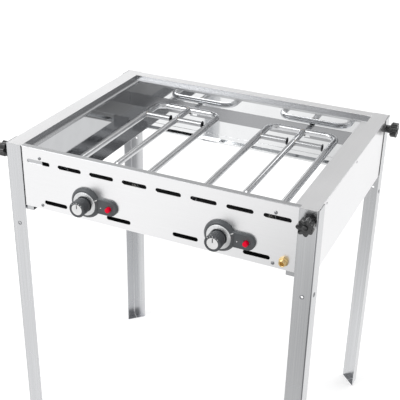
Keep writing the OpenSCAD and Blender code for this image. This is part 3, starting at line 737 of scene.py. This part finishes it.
@dataclass
class SheetBody:
    """Outer panels and inner sheets: folded sheet with softly rounded folds, deburred edges and a rear hem."""

    fold_mm: float = 1.1
    burr_mm: float = 0.3
    hem_low: Point = (-365.0, 281.0, 724.0)
    hem_high: Point = (365.0, 281.75, 762.0)
    floor_top: float = 678.0
    # The ledges lie within these distances of the middle, and this far below the rails.
    ledge_x: float = 342.0
    ledge_y: float = 257.0
    ledge_below: tuple[float, float] = (1.6, 20.0)
    panels: tuple[tuple[str, Finish], ...] = (
        ("front_panel", PANEL_X),
        ("rear_panel", PANEL_X),
        ("left_panel", PANEL_Y),
        ("right_panel", PANEL_Y),
    )
    sheets: tuple[tuple[str, Finish], ...] = (
        # The left lining carries a painted dark reflection.
        ("left_lining", LEFT_LINING),
        ("right_lining", LINING),
        ("rear_lining", LINING),
        ("front_shield", LINING),
        ("left_bottom_plate", HEATED),
        ("right_bottom_plate", HEATED),
        ("rear_bottom_strip", LINING),
        ("left_burner_bracket", LINING),
        ("right_burner_bracket", LINING),
    )

    def build(self) -> None:
        """Builds all sheets."""
        hem = block(self.hem_low, self.hem_high)
        soften(hem, self.burr_mm, 2)
        finish_piece(hem, "rear_lining.hem", "frame", HEM, 30.0, (), True)
        for node, finish in self.panels:
            self.panel(node, finish)
        for node, finish in self.sheets:
            bm = merged(node)
            soften(bm, self.burr_mm / 2, 1)
            piece = finish_piece(bm, f"{node}.sheet", "frame", finish, 30.0, [node], True)
            # The front shield's faces at the controls and under them get painted shade.
            if node == "front_shield":
                second_finish(piece, SHADE_SHEET, self.in_the_dark)

    def in_the_dark(self, face: Polygon) -> bool:
        """Tells the faces of the front shield that look at the controls or lie under them, which get painted shade.
        """
        return face.normal.y < -0.5 or (face.normal.z > 0.5 and face.center.z < self.floor_top * MM)

    def panel(self, node: str, finish: Finish) -> None:
        """Builds one outer panel.

        Args:
            node: The CAD node that it stands for.
            finish: Its finish.
        """
        low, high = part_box(node)

        def on_fold(edge: Edge) -> bool:
            """Tells the long outer fold along the top of the panel.

            Args:
                edge: An edge of the panel.

            Returns:
                True for an edge of that fold.
            """
            a, b = (v.co for v in edge.verts)
            if min(a.z, b.z) < high.z - 0.1 * MM or (a - b).length < 0.2:
                return False
            long_x = abs(a.x - b.x) > abs(a.y - b.y)
            if node == "front_panel":
                return long_x and max(a.y, b.y) < low.y + 0.2 * MM
            if node == "rear_panel":
                return long_x and min(a.y, b.y) > high.y - 0.2 * MM
            outer = high.x if node == "right_panel" else low.x
            return not long_x and abs(a.x - outer) < 0.2 * MM

        bm = merged(node)
        soften(bm, self.fold_mm, 4, 40.0, on_fold)
        soften(bm, self.burr_mm, 2, 60.0)
        piece = finish_piece(bm, f"{node}.sheet", "frame", finish, 30.0, [node], True)

        def on_ledge(face: Polygon) -> bool:
            """Tells the ledge below the rail, its lip and the step that leads down to it.

            Args:
                face: A face of the panel.

            Returns:
                True for a face that lies there.
            """
            inward = abs(face.center.x) < self.ledge_x * MM and abs(face.center.y) < self.ledge_y * MM
            near, far = self.ledge_below
            return inward and near * MM < high.z - face.center.z < far * MM

        # The ledges, their lips and their steps get painted shade.
        if node == "left_panel":
            second_finish(piece, SHADED_LEDGE, on_ledge)
        if node == "rear_panel":
            second_finish(piece, SHADED_REAR_LEDGE, on_ledge)
        # The rail over the controls and its fold get painted shade.
        if node == "front_panel":
            second_finish(piece, SHADED_FRONT_RAIL, lambda f: f.normal.z > 0.3 and f.center.z > high.z - 1.2 * MM)


@dataclass
class Legs:
    """Four angle legs with deburred edges."""

    burr_mm: float = 0.35
    sheet: float = 1.5
    flange: float = 40.0
    foot_top: float = 6.0
    gap: float = 1.8
    tight_gap: float = 0.5
    upright_deep: float = 0.9
    level_deep: float = 1.0
    upright_gaps: tuple[float, float] = (676.0, 823.0)
    level_gaps: tuple[float, float] = (823.8, 824.95)
    nodes: tuple[str, ...] = ("leg_front_left", "leg_front_right", "leg_rear_right", "leg_rear_left")

    def build(self) -> None:
        """Builds the legs."""
        for node in self.nodes:
            bm = merged(node)
            soften(bm, self.burr_mm, 2, 60.0)
            piece = finish_piece(bm, node + ".angle", "frame", LEG_STEEL, 30.0, [node], True)
            second_finish(piece, FOOT, lambda f: f.normal.z > 0.5 and f.center.z < self.foot_top * MM)
            # The outer bend gets a painted dark reflection.
            second_finish(piece, LEG_BEND_REFLECTION, self.on_outer_fold)
        self.seams()

    @staticmethod
    def on_outer_fold(face: Polygon) -> bool:
        """Tells the faces of the bend that look away from the grill, which get the painted dark reflection."""
        away = [way * math.copysign(1, at) for way, at in zip(face.normal[:2], face.center[:2])]
        return min(away) > 0.25

    def seams(self) -> None:
        """Builds dark strips of painted shadow in the gaps between the legs and the panels."""
        bm = bmesh.new()
        for x_side, y_side in product((-1, 1), repeat=2):
            skin_x, skin_y = (LEG_X - self.sheet) * x_side, (LEG_Y - self.sheet) * y_side
            edge_x, edge_y = (LEG_X - self.flange) * x_side, (LEG_Y - self.flange) * y_side
            gap = self.gap if x_side == y_side else self.tight_gap
            out, under = self.upright_deep, self.level_deep
            for (low_z, high_z), a, b in (
                (self.upright_gaps, (edge_x, skin_y), (edge_x - gap * x_side, skin_y + out * y_side)),
                (self.upright_gaps, (skin_x, edge_y), (skin_x + out * x_side, edge_y - gap * y_side)),
                (self.level_gaps, (edge_x, skin_y), (skin_x, skin_y - under * y_side)),
                (self.level_gaps, (skin_x, edge_y), (skin_x - under * x_side, skin_y)),
            ):
                join(bm, block((*a, low_z), (*b, high_z)))
        finish_piece(bm, "corner_gaps.painted_shadow", "frame", GAP_SHADOW)


@dataclass
class StarKnob:
    """Star shaped clamping knob of one corner: lobes with rounded rims, a dished face and a boss."""

    corner: str
    outward: Point
    turn: float = 0.0
    lobes: int = 7
    outer_r: float = 18.6
    valley_r: float = 13.9
    boss_r: float = 9.4
    boss_h: float = 10.5
    head_h: float = 16.0
    rim_round: float = 2.2

    def rim(self, angle: float) -> float:
        """Gives the radius of the star in millimetres at an angle in radians."""
        wave = (1 + math.cos(self.lobes * angle)) / 2
        return self.valley_r + (self.outer_r - self.valley_r) * wave**0.62

    def build(self) -> None:
        """Builds the knob and its stud."""
        bm = bmesh.new()
        made = bmesh.ops.create_circle(bm, cap_ends=True, radius=self.outer_r * MM, segments=self.lobes * 24)
        for v in made["verts"]:
            angle = math.atan2(v.co.y, v.co.x)
            v.co = v.co.normalized() * self.rim(angle) * MM
            v.co.z = self.boss_h * MM
        raise_faces(bm, self.head_h)
        foot = min(bm.faces, key=lambda face: face.calc_center_median().z)
        bevel(bm, list(top_face(bm).edges) + list(foot.edges), self.rim_round, 5)
        bm.normal_update()
        cap = top_face(bm)
        for inset, depth in ((2.2, -0.9), (1.0, -0.5)):
            bmesh.ops.inset_region(bm, faces=[cap], thickness=inset * MM, depth=depth * MM)
        neck = self.boss_h + 1
        join(bm, turned(rounded([(0, 0.4), (self.boss_r, 0.4), (self.boss_r + 1.2, neck), (0, neck)], 1.0), 48))
        face = self.boss_h + self.head_h
        dome = [(0, face - 2), (6.4, face - 2), (6.0, face + 0.6), (3.4, face + 1.5), (0, face + 1.8)]
        join(bm, turned(rounded(dome, 0.8), 48))
        node = f"star_knob_{self.corner}"
        low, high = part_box(node)
        middle = (low + high) / (2 * MM)
        away = Vector(self.outward)
        reach = ((high - low) / MM).dot(Vector([abs(c) for c in away])) / 2
        place(bm, middle - away * (reach + 0.3), self.outward, self.turn)
        finish_piece(bm, f"{node}.moulded", f"star_{self.corner}", STAR_PLASTIC, 40.0, [node])
        dress(f"star_stud_{self.corner}", ZINC)


@dataclass
class ControlUnit:
    """One burner's control: plastic bezel with a tongue, trim ring, knob, printed marks and igniter button."""

    side: str
    axis_x: float
    axis_z: float = 720.5
    bezel_r: float = 36.5
    bezel_h: float = 9.0
    tongue_r: float = 18.4
    tongue_h: float = 7.0
    button_x: float = 61.5
    button_r: float = 5.75
    button_gap: float = 0.5
    collar_wall: float = 2.5
    # Where the tongue starts, under the disc's rim.
    tongue_root: float = 24.0
    # The painted glint bar on the rim: its ends from the axis, its half width, its faces and its turn in degrees.
    bar_ends: tuple[float, float] = (29.8, 35.6)
    bar_half: float = 0.85
    bar_faces: tuple[float, float] = (4.0, 9.15)
    bar_turn: float = 26.0
    dot_at: tuple[float, float] = (40.0, -2.5)
    bore_r: float = 18.0
    ring_r: float = 28.0
    disc_r: float = 12.8
    flutes: int = 28
    flute_depth: float = 0.8
    tick_step: float = 22.0
    carried: tuple[tuple[str, Finish], ...] = (
        ("spindle", ZINC),
        ("push_collar", ZINC),
        ("gas_valve", BRASS),
        ("injector", BRASS),
        ("air_shutter", PIPE),
        ("igniter", CERAMIC),
        ("electrode", CERAMIC),
        ("thermocouple", COPPER),
    )

    def at(self, x: float = 0.0, z: float = 0.0) -> Point:
        """Gives a place on the panel, in millimetres to the right of the knob's axis and above it."""
        return (self.axis_x + x, FRONT_Y, self.axis_z + z)

    def build(self) -> None:
        """Builds the unit."""
        self.bezel()
        self.ring()
        self.knob()
        self.button()
        for node, finish in self.carried:
            dress(f"{self.side}_{node}", finish)

    def bezel(self) -> None:
        """Builds the bezel with its tongue, its printed dot and a painted glint bar."""
        r, h, bore = self.bezel_r, self.bezel_h, self.bore_r + 0.4
        rim = [(r, 0.0), (r - 0.2, 3.0), (r - 1.9, 6.0), (r - 2.6, 6.2), (r - 5.1, h), (bore, h), (bore, 5.0)]
        disc = turned(rounded([(9.0, 0.0), *rim, (9.0, 5.0), (9.0, 0.0)], 0.9, 4), 144)
        tongue = bmesh.new()
        made = bmesh.ops.create_circle(tongue, cap_ends=True, radius=self.tongue_r * MM, segments=128)
        # The half of the circle next to the disc is pulled square, so the tongue starts under the disc's rim.
        for v in made["verts"]:
            if v.co.x > 0:
                v.co.x += self.button_x * MM
            else:
                v.co.x = self.tongue_root * MM
                v.co.y = math.copysign(self.tongue_r * MM, v.co.y)
        bmesh.ops.remove_doubles(tongue, verts=tongue.verts, dist=0.001 * MM)
        bmesh.ops.dissolve_limit(tongue, angle_limit=math.radians(0.5), verts=tongue.verts, edges=tongue.edges)
        raise_faces(tongue, self.tongue_h)
        bevel(tongue, top_face(tongue).edges, 2.4, 4)
        # A shallow panel is sunk into the tongue's face.
        top = top_face(tongue)
        bmesh.ops.inset_region(tongue, faces=[top], thickness=1.1 * MM)
        bmesh.ops.inset_region(tongue, faces=[top], thickness=0.4 * MM, depth=-0.5 * MM)
        inner = self.button_r + self.button_gap
        hole = turned([(0, -2), (inner, -2), (inner, 12), (0, 12)], 64)
        bmesh.ops.translate(hole, verts=hole.verts, vec=(self.button_x * MM, 0, 0))
        tongue = carve(tongue, hole)
        # A low collar stands round the button.
        outer = inner + self.collar_wall
        wall = [(inner, 6.0), (outer, 6.0), (outer - 0.4, 7.2), (inner + 0.3, 7.2), (inner, 6.0)]
        collar = turned(rounded(wall, 0.5), 64)
        bmesh.ops.translate(collar, verts=collar.verts, vec=(self.button_x * MM, 0, 0))
        join(tongue, collar)
        join(disc, tongue)
        self.stand(disc)
        finish_piece(disc, f"{self.side}_bezel.moulded", "frame", GREY_PLASTIC, 32.0, [f"{self.side}_bezel"])
        (near, far), wide, (under, face) = self.bar_ends, self.bar_half, self.bar_faces
        # A bar of painted glint runs over the rim where the disc meets the tongue.
        bar = block((near, -wide, under), (far, wide, face))
        self.stand(bar, self.bar_turn)
        finish_piece(bar, f"{self.side}_bezel.painted_glint_bar", "frame", PRINT_AND_GLINT)
        # A small raised dot on the tongue, between the ring and the button.
        dot = turned(rounded([(0, 6.2), (1.4, 6.2), (1.2, 7.0), (0, 7.1)], 0.2), 24)
        place(dot, self.at(*self.dot_at), FORWARD)
        finish_piece(dot, f"{self.side}_bezel.index_dot", "frame", PRINT_AND_GLINT)

    def ring(self) -> None:
        """Builds the bright domed ring."""
        low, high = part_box(f"{self.side}_trim_ring")
        tall = (high.y - low.y) / MM
        base, inner, outer = self.bezel_h, self.bore_r, self.ring_r
        top = base + tall
        rim = [(inner, base), (outer, base), (outer, base + 0.8), (outer - 1.2, base + 1.2)]
        crest = [(inner + 2.0, top), (inner + 0.4, top - 0.2), (inner, top - 0.8), (inner, base)]
        ring = turned(rounded(rim + crest, 0.4), 144)
        place(ring, self.at(), FORWARD)
        # Turned aluminium: bright, with rings about the knob's own axis.
        centre = tuple(c * MM for c in self.at())
        finish = TurnedMetal(f"{self.side}_turned_aluminium", "E6E7E8", 0.26, "bright_ring", centre, 0.9, 0.35)
        finish_piece(ring, f"{self.side}_trim_ring.turned", "frame", finish, 30.0, [f"{self.side}_trim_ring"])

    def knob(self) -> None:
        """Builds the knob with its grip flutes, the printed disc and the scale ticks."""
        low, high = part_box(f"{self.side}_knob")
        # The face stays a little inside the solid's, because the ticks stand out of it.
        foot, face = FRONT_Y - high.y / MM, FRONT_Y - low.y / MM - 0.1
        body = f"{self.side}_control"
        # A narrower neck stands in the ring's bore, so the knob can be pushed in.
        neck = [(4.05, foot), (17.0, foot), (17.2, foot + 9.1)]
        grip = [*neck, (18.5, foot + 9.3), (18.95, foot + 10.0), (18.9, face - 1.2), (18.1, face)]
        flutes, dish = self.flutes, face - 0.7
        skirt = turned(rounded([*grip, (14.2, face), (13.7, dish), (0, dish)], 0.7, 4), flutes * 6)
        tall = [e for e in skirt.edges if abs(e.verts[0].co.z - e.verts[1].co.z) > 8 * MM]
        bmesh.ops.subdivide_edges(skirt, edges=tall, cuts=6)
        # The flutes run along the grip and fade out before its ends.
        for v in skirt.verts:
            r, h = math.hypot(v.co.x, v.co.y) / MM, v.co.z / MM
            if r > 16.5 and foot + 11 < h < face - 3:
                depth = self.flute_depth * (0.5 + 0.5 * math.cos(flutes * math.atan2(v.co.y, v.co.x)))
                v.co.x *= 1 - depth / r
                v.co.y *= 1 - depth / r
        place(skirt, self.at(), FORWARD)
        finish_piece(skirt, f"{self.side}_knob.moulded", body, KNOB_PLASTIC, 38.0, [f"{self.side}_knob"])
        r, low_h, high_h = self.disc_r, face - 0.72, face - 0.5
        disc = turned([(0, low_h), (r, low_h), (r, high_h), (0, high_h)], 96)
        place(disc, self.at(), FORWARD)
        finish_piece(disc, f"{self.side}_knob.face_disc", body, PRINT_AND_GLINT)
        pointer = block((-1.1, 2.0, face - 0.55), (1.1, 11.6, face - 0.42))
        self.stand(pointer)
        finish_piece(pointer, f"{self.side}_knob.pointer", body, DARK_PRINT)
        ticks = bmesh.new()
        for k in range(5):
            long = 2.6 if k % 2 == 0 else 1.8
            tick = block((-0.6, 15.0, face - 0.1), (0.6, 15.0 + long, face + 0.06))
            self.stand(tick, (2 - k) * self.tick_step)
            join(ticks, tick)
        finish_piece(ticks, f"{self.side}_knob.ticks", body, PRINT_AND_GLINT)

    def stand(self, bm: Shape, turn: float = 0.0) -> None:
        """Stands a flat drawing on the control: its X to the right, its Y up, its Z outward.

        Args:
            bm: The drawing.
            turn: Turn about Z before that, in degrees.
        """
        upright = Matrix.Rotation(math.radians(90), 4, "X") @ Matrix.Rotation(math.radians(turn), 4, "Z")
        bmesh.ops.transform(bm, matrix=Matrix.Translation(Vector(self.at()) * MM) @ upright, verts=bm.verts)

    def button(self) -> None:
        """Builds the red button with its crowned face and its stem."""
        node = f"{self.side}_button"
        low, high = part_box(node)
        face, stem = FRONT_Y - low.y / MM, FRONT_Y - high.y / MM
        r = self.button_r - 0.05
        side = [(0, stem), (3.5, stem), (3.5, 6.1), (r, 6.1), (r, face - 1.4), (r - 1.5, face - 0.25), (0, face)]
        cap = turned(rounded(side, 0.7, 4), 64)
        place(cap, self.at(self.button_x), FORWARD)
        finish_piece(cap, f"{node}.moulded", f"{self.side}_ignition", RED_PLASTIC, 40.0, [node])


@dataclass
class Burner:
    """Fork burner of one side: smooth tubes, weld beads at the joints and collars on the cross tubes' ends."""

    side: str
    axis_x: float
    tube_r: float = 8.0
    mid_r: float = 7.6
    pitch: float = 91.7
    axis_z: float = 757.0
    rear_y: float = 244.0
    cross_y: float = 165.0
    cross_l: float = 76.0
    # Share of a tube's radius at which the bead of a joint sits.
    sunk: float = 0.78
    bead_r: float = 1.1
    rear_bead_r: float = 1.2
    # A collar's inner and outer radius, its length, and how far it starts before the tube's end.
    collar_r: tuple[float, float] = (5.6, 9.3)
    collar_l: float = 1.7
    collar_back: float = 1.6

    def build(self) -> None:
        """Builds the burner."""
        for node, name, finish in (("burner", "tubes", TUBE), ("cross_tubes", "flame_ties", CROSS_TUBE)):
            bm = merged(f"{self.side}_{node}")
            finish_piece(bm, f"{self.side}_burner.{name}", "frame", finish, 40.0, [f"{self.side}_{node}"])
        beads, collars = bmesh.new(), bmesh.new()
        (inner, outer), tall = self.collar_r, self.collar_l
        ring = [(inner, 0.0), (outer, 0.0), (outer, tall), (inner, tall), (inner, 0.0)]
        for k, r in ((-1, self.tube_r), (0, self.mid_r)):
            seat = (self.axis_x + k * self.pitch + r * self.sunk, self.cross_y, self.axis_z)
            join(beads, self.bead(seat, (1, 0, 0), self.mid_r - 0.3, self.bead_r))
            end = (self.axis_x + k * self.pitch + self.cross_l - self.collar_back, self.cross_y, self.axis_z)
            join(collars, place(turned(rounded(ring, 0.4), 48), end, (1, 0, 0)))
        seat = (self.axis_x, self.rear_y - self.tube_r * self.sunk, self.axis_z)
        join(beads, self.bead(seat, (0, 1, 0), self.mid_r, self.rear_bead_r))
        finish_piece(beads, f"{self.side}_burner.weld_beads", "frame", WELD)
        finish_piece(collars, f"{self.side}_burner.end_collars", "frame", DARK_COLLAR)

    def bead(self, at: Sequence[float], way: Sequence[float], radius: float, thick: float) -> Shape:
        """Makes a rippled weld bead round a tube.

        Args:
            at: The middle of the bead in millimetres.
            way: The direction of the tube.
            radius: The tube's radius.
            thick: The bead's own radius.

        Returns:
            The bead.
        """
        ring = [(radius + thick * math.cos(a), thick * math.sin(a)) for a in (math.tau * k / 10 for k in range(11))]
        bm = turned(ring, 96)
        for v in bm.verts:
            angle = math.atan2(v.co.y, v.co.x)
            v.co *= 1 + 0.012 * math.sin(26 * angle)
        return place(bm, at, way)


@dataclass
class GasTrain:
    """Gas inlet with its thread and hexagon, lock nut and manifold."""

    axis_x: float = 305.0
    axis_z: float = 695.0
    major_r: float = 7.5
    minor_r: float = 6.6
    pitch: float = 1.5
    bore_r: float = 4.5
    bore_depth: float = 12.0
    nut_r: float = 11.0
    nut_h: float = 5.0

    def build(self) -> None:
        """Builds the gas train."""
        low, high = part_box("gas_inlet")
        end, back = FRONT_Y - low.y / MM, FRONT_Y - high.y / MM
        bore, floor, major, minor, pitch = self.bore_r, end - self.bore_depth, self.major_r, self.minor_r, self.pitch
        profile = [(bore, floor), (bore, end - 0.8), (bore + 0.7, end), (minor, end)]
        h = end - 0.6
        while h > self.nut_h + 1.6:
            profile += [(major, h - pitch * 0.35), (major, h - pitch * 0.5), (minor, h - pitch * 0.85)]
            h -= pitch
        profile += [(major, self.nut_h + 0.4), (major, back), (0, back), (0, floor), (bore, floor)]
        stub = turned(profile, 72)
        join(stub, self.hexagon())
        place(stub, (self.axis_x, FRONT_Y, self.axis_z), FORWARD)
        # The inlet is clean, pale brass.
        centre = (self.axis_x * MM, 0.0, self.axis_z * MM)
        brass = TurnedMetal("clean_brass", "EBCF96", 0.3, "brass", centre)
        finish_piece(stub, "gas_inlet.threaded", "frame", brass, 25.0, ["gas_inlet"])
        dress("inlet_locknut", BRASS)
        dress("manifold_pipe", PIPE)

    def hexagon(self) -> Shape:
        """Makes the inlet's hexagon with chamfered corners.

        Returns:
            The hexagon, with its foot at the origin.
        """
        bm = bmesh.new()
        bmesh.ops.create_circle(bm, cap_ends=True, radius=self.nut_r * MM, segments=6)
        raise_faces(bm, self.nut_h)
        bevel(bm, bm.edges[:], 0.5, 2)
        return bm


@dataclass
class Fasteners:
    """Cross recess screws, side rivets, the star knobs' weld nuts and the flanges of the legs' rivet nuts."""

    screw_x: float = 281.5
    screw_z: tuple[float, float] = (802.2, 684.7)
    side_x: float = 368.5
    rivet_z: float = 818.0
    rivet_y: tuple[float, ...] = (-228.8, -9.2, 211.6)
    leg_hole_z: float = 622.0
    leg_hole_in: float = 20.0

    def build(self) -> None:
        """Builds the fasteners."""
        screws = bmesh.new()
        for k, m in product((0, 1), repeat=2):
            at = (self.screw_x * (2 * k - 1), FRONT_Y, self.screw_z[m])
            join(screws, place(self.screw(), at, FORWARD, 20 + 33 * k + 17 * m))
        finish_piece(screws, "front_screws.cross_recess", "frame", SCREW_ZINC, 35.0, ["front_screws"])
        rivets = bmesh.new()
        dome = [(0, -1.4), (1.9, -1.4), (1.9, 0.0), (3.0, 0.0), (2.4, 0.6), (0.9, 0.8), (0, 0.8)]
        for side, y in product((-1, 1), self.rivet_y):
            join(rivets, place(turned(rounded(dome, 0.4), 32), (side * self.side_x, y, self.rivet_z), (side, 0, 0)))
        finish_piece(rivets, "side_rivets.domed", "frame", ZINC, 35.0, ["side_rivets"])
        dress("weld_nuts", ZINC)
        nuts = bmesh.new()
        ring = [(3.0, 0.0), (5.2, 0.0), (5.0, 0.7), (3.2, 0.7), (3.0, 0.0)]
        for x, y in product((-1, 1), repeat=2):
            front = (x * (LEG_X - self.leg_hole_in), y * LEG_Y, self.leg_hole_z)
            flank = (x * LEG_X, y * (LEG_Y - self.leg_hole_in), self.leg_hole_z)
            for at, way in ((front, (0, y, 0)), (flank, (x, 0, 0))):
                join(nuts, place(turned(rounded(ring, 0.3), 40), at, way))
        finish_piece(nuts, "leg_rivet_nuts.flanges", "frame", SCREW_ZINC, 35.0)

    def screw(self) -> Shape:
        """Makes a pan head screw with a cross recess.

        Returns:
            The screw, its head on Z.
        """
        pan = [(0, -3.2), (2.0, -3.2), (2.0, 0.0), (4.0, 0.0), (3.8, 1.0), (2.6, 1.8), (0, 2.0)]
        head = turned(rounded(pan, 0.6), 40)
        # The two slots of the cross are cut one after the other, because a cutter can't overlap itself.
        head = carve(head, block((-2.3, -0.5, 0.9), (2.3, 0.5, 3.0)))
        return carve(head, block((-0.5, -2.3, 0.9), (0.5, 2.3, 3.0)))


@dataclass
class Studio:
    """White floor and a soft studio whose dark side is where the camera stands."""

    fill: float = 0.58
    # Direction that runs up the studio's wall, tilted to the left, where the wall is brightest.
    tilt: Point = (0.4, 0.0, 1.0)
    # Place along that direction and brightness there: lit wall, grey band, ceiling, soft box.
    wall: tuple[tuple[float, float], ...] = (
        (0.12, 1.30),
        (0.17, 0.90),
        (0.20, 0.62),
        (0.27, 0.50),
        (0.36, 0.42),
        (0.52, 0.42),
        (0.72, 0.74),
        (0.95, 0.60),
    )
    dark_side: Point = (0.9, -1.3, 0.0)
    floor_half: float = 30.0
    floor_reach: float = 3.0
    # Distance from the dark side over the reach, and brightness of the mirrored floor there.
    ground: tuple[tuple[float, float], ...] = (
        (0.05, 0.16),
        (0.16, 0.34),
        (0.30, 0.68),
        (0.40, 0.84),
        (0.48, 0.98),
        (0.60, 1.00),
    )
    camera_at: Point = (0.760, -1.707, 1.601)
    # Turn to the left, look down and tilt of the camera, in degrees.
    heading: float = 24.4
    down: float = 27.4
    roll: float = 1.18
    # The focal length, and the width of the picture that it is measured in.
    focal_px: float = 850.0
    frame_px: float = 400.0

    def build(self) -> None:
        """Builds the floor, the world, the lamps and the camera."""
        self.floor()
        self.world()
        self.lamp("key", (-1.9, -2.0, 3.2), 2.4, 52.0)
        self.lamp("top", (0.9, 1.3, 3.2), 2.0, 24.0)
        self.camera()

    @staticmethod
    def set_stops(ramp: Node, steps: Sequence[tuple[float, float]]) -> None:
        """Sets the stops of a colour ramp.

        Args:
            ramp: The colour ramp.
            steps: Places from 0 to 1 with their brightness.
        """
        points = ramp.color_ramp.elements
        while len(points) < len(steps):
            points.new(0.5)
        for point, (position, value) in zip(points, steps):
            point.position = position
            point.color = (value, value, value, 1)

    @staticmethod
    def seen(tree: Tree) -> tuple[Node, Socket]:
        """Adds the light path, and a 1 for rays that come from the camera straight or through something clear.

        Args:
            tree: The node tree.

        Returns:
            The light path's node, and the output with the 1.
        """
        path = add(tree, "ShaderNodeLightPath")
        rays = {0: path.outputs["Is Camera Ray"], 1: path.outputs["Is Transmission Ray"]}
        return path, add(tree, "ShaderNodeMath", {}, rays, operation="MAXIMUM").outputs["Value"]

    def floor(self) -> None:
        """Builds the floor: it keeps the shadow, and it goes over into the white background far out."""
        bm = bmesh.new()
        bmesh.ops.create_grid(bm, x_segments=1, y_segments=1, size=self.floor_half)
        mesh = bpy.data.meshes.new("floor")
        bm.to_mesh(mesh)
        bm.free()
        floor = in_scene("floor", mesh)
        # A matt white sweep of painted board.
        material = bpy.data.materials.new("white_studio_floor")
        material.use_nodes = True
        tree = material.node_tree
        shader = tree.nodes["Principled BSDF"]
        shader.inputs["Base Color"].default_value = linear("F2F2F2")
        shader.inputs["Roughness"].default_value = 0.9
        shader.inputs["Emission Color"].default_value = (1, 1, 1, 1)
        coords = add(tree, "ShaderNodeTexCoord")
        path, seen = self.seen(tree)
        # The floor's own glow grows from 1 m out, and from 4.5 m out it is as white as the background.
        away = add(tree, "ShaderNodeVectorMath", {}, {0: coords.outputs["Object"]}, operation="LENGTH")
        limits = {"From Min": 1.0, "From Max": 4.5, "To Min": 0.36, "To Max": 0.85}
        glow = add(tree, "ShaderNodeMapRange", limits, {"Value": away.outputs["Value"]})
        both = {0: seen, 1: glow.outputs["Result"]}
        strength = add(tree, "ShaderNodeMath", {}, both, operation="MULTIPLY")
        wire(tree, shader, {"Emission Strength": strength.outputs["Value"]})
        # Metal mirrors the white floor, which falls off toward the dark side of the studio.
        spot = {1: self.dark_side}
        reach = add(tree, "ShaderNodeVectorMath", spot, {0: coords.outputs["Object"]}, operation="DISTANCE")
        per_metre = {1: 1 / self.floor_reach}
        share = add(tree, "ShaderNodeMath", per_metre, {0: reach.outputs["Value"]}, operation="MULTIPLY")
        bright = add(tree, "ShaderNodeValToRGB", {}, {"Fac": share.outputs["Value"]})
        self.set_stops(bright, self.ground)
        mirrored = add(tree, "ShaderNodeEmission", {"Strength": 1.0}, {"Color": bright.outputs["Color"]})
        parts = {0: path.outputs["Is Glossy Ray"], 1: shader.outputs["BSDF"], 2: mirrored.outputs["Emission"]}
        mix = add(tree, "ShaderNodeMixShader", {}, parts)
        wire(tree, tree.nodes["Material Output"], {"Surface": mix.outputs["Shader"]})
        mesh.materials.append(material)

    def world(self) -> None:
        """Builds the world: white to the camera, a bright wall under a grey ceiling to reflections."""
        world = bpy.data.worlds.new("studio")
        bpy.context.scene.world = world
        world.use_nodes = True
        tree = world.node_tree
        tree.nodes.clear()
        way = add(tree, "ShaderNodeTexCoord")
        # The wall is brighter to the left; a grey band runs over it, and a wide soft box hangs overhead.
        source = {0: way.outputs["Generated"]}
        height = add(tree, "ShaderNodeVectorMath", {1: self.tilt}, source, operation="DOT_PRODUCT")
        wall = add(tree, "ShaderNodeValToRGB", {}, {"Fac": height.outputs["Value"]})
        self.set_stops(wall, self.wall)
        path, seen = self.seen(tree)
        plain = {6: (self.fill, self.fill, self.fill, 1)}
        mirrored = {0: path.outputs["Is Glossy Ray"], 7: wall.outputs["Color"]}
        lit = add(tree, "ShaderNodeMix", plain, mirrored, data_type="RGBA")
        sides = {0: seen, 6: lit.outputs[2]}
        colour = add(tree, "ShaderNodeMix", {7: (1, 1, 1, 1)}, sides, data_type="RGBA")
        back = add(tree, "ShaderNodeBackground", {"Strength": 1.0}, {"Color": colour.outputs[2]})
        add(tree, "ShaderNodeOutputWorld", {}, {"Surface": back.outputs["Background"]})

    def lamp(self, name: str, at: Sequence[float], size: float, power: float) -> None:
        """Hangs a soft lamp that points at the body.

        Args:
            name: Its name.
            at: Its place in metres.
            size: Its width in metres.
            power: Its power in watts.
        """
        data = bpy.data.lights.new(name, "AREA")
        data.shape, data.size, data.energy = "SQUARE", size, power
        lamp = in_scene(name, data)
        lamp.location = at
        lamp.rotation_mode = "QUATERNION"
        lamp.rotation_quaternion = (Vector((0, 0, 0.6)) - Vector(at)).to_track_quat("-Z", "Y")

    def camera(self) -> None:
        """Sets up the camera at the photograph's viewing angle."""
        data = bpy.data.cameras.new("camera")
        data.sensor_width = 36.0
        data.lens = data.sensor_width * self.focal_px / self.frame_px
        data.clip_end = 100.0
        camera = in_scene("camera", data)
        camera.location = self.camera_at
        head, tilt, roll = (math.radians(a) for a in (self.heading, 90 - self.down, self.roll))
        turn = Matrix.Rotation(head, 3, "Z") @ Matrix.Rotation(tilt, 3, "X") @ Matrix.Rotation(roll, 3, "Z")
        camera.rotation_mode = "QUATERNION"
        camera.rotation_quaternion = turn.to_quaternion()
        bpy.context.scene.camera = camera


def main() -> None:
    """Builds the grill and the studio in order."""
    bpy.context.scene.view_settings.view_transform = "Standard"
    SheetBody().build()
    Legs().build()
    for corner, outward, turn in (
        ("front_left", (-1.0, 0.0, 0.0), 10.0),
        ("front_right", (0.0, -1.0, 0.0), 25.0),
        ("rear_right", (1.0, 0.0, 0.0), 5.0),
        ("rear_left", (0.0, 1.0, 0.0), 40.0),
    ):
        StarKnob(corner, outward, turn).build()
    for side, x in (("left", -CONTROL_X), ("right", CONTROL_X)):
        ControlUnit(side, x).build()
        Burner(side, x).build()
    GasTrain().build()
    Fasteners().build()
    Studio().build()


if __name__ == "__main__":
    main()
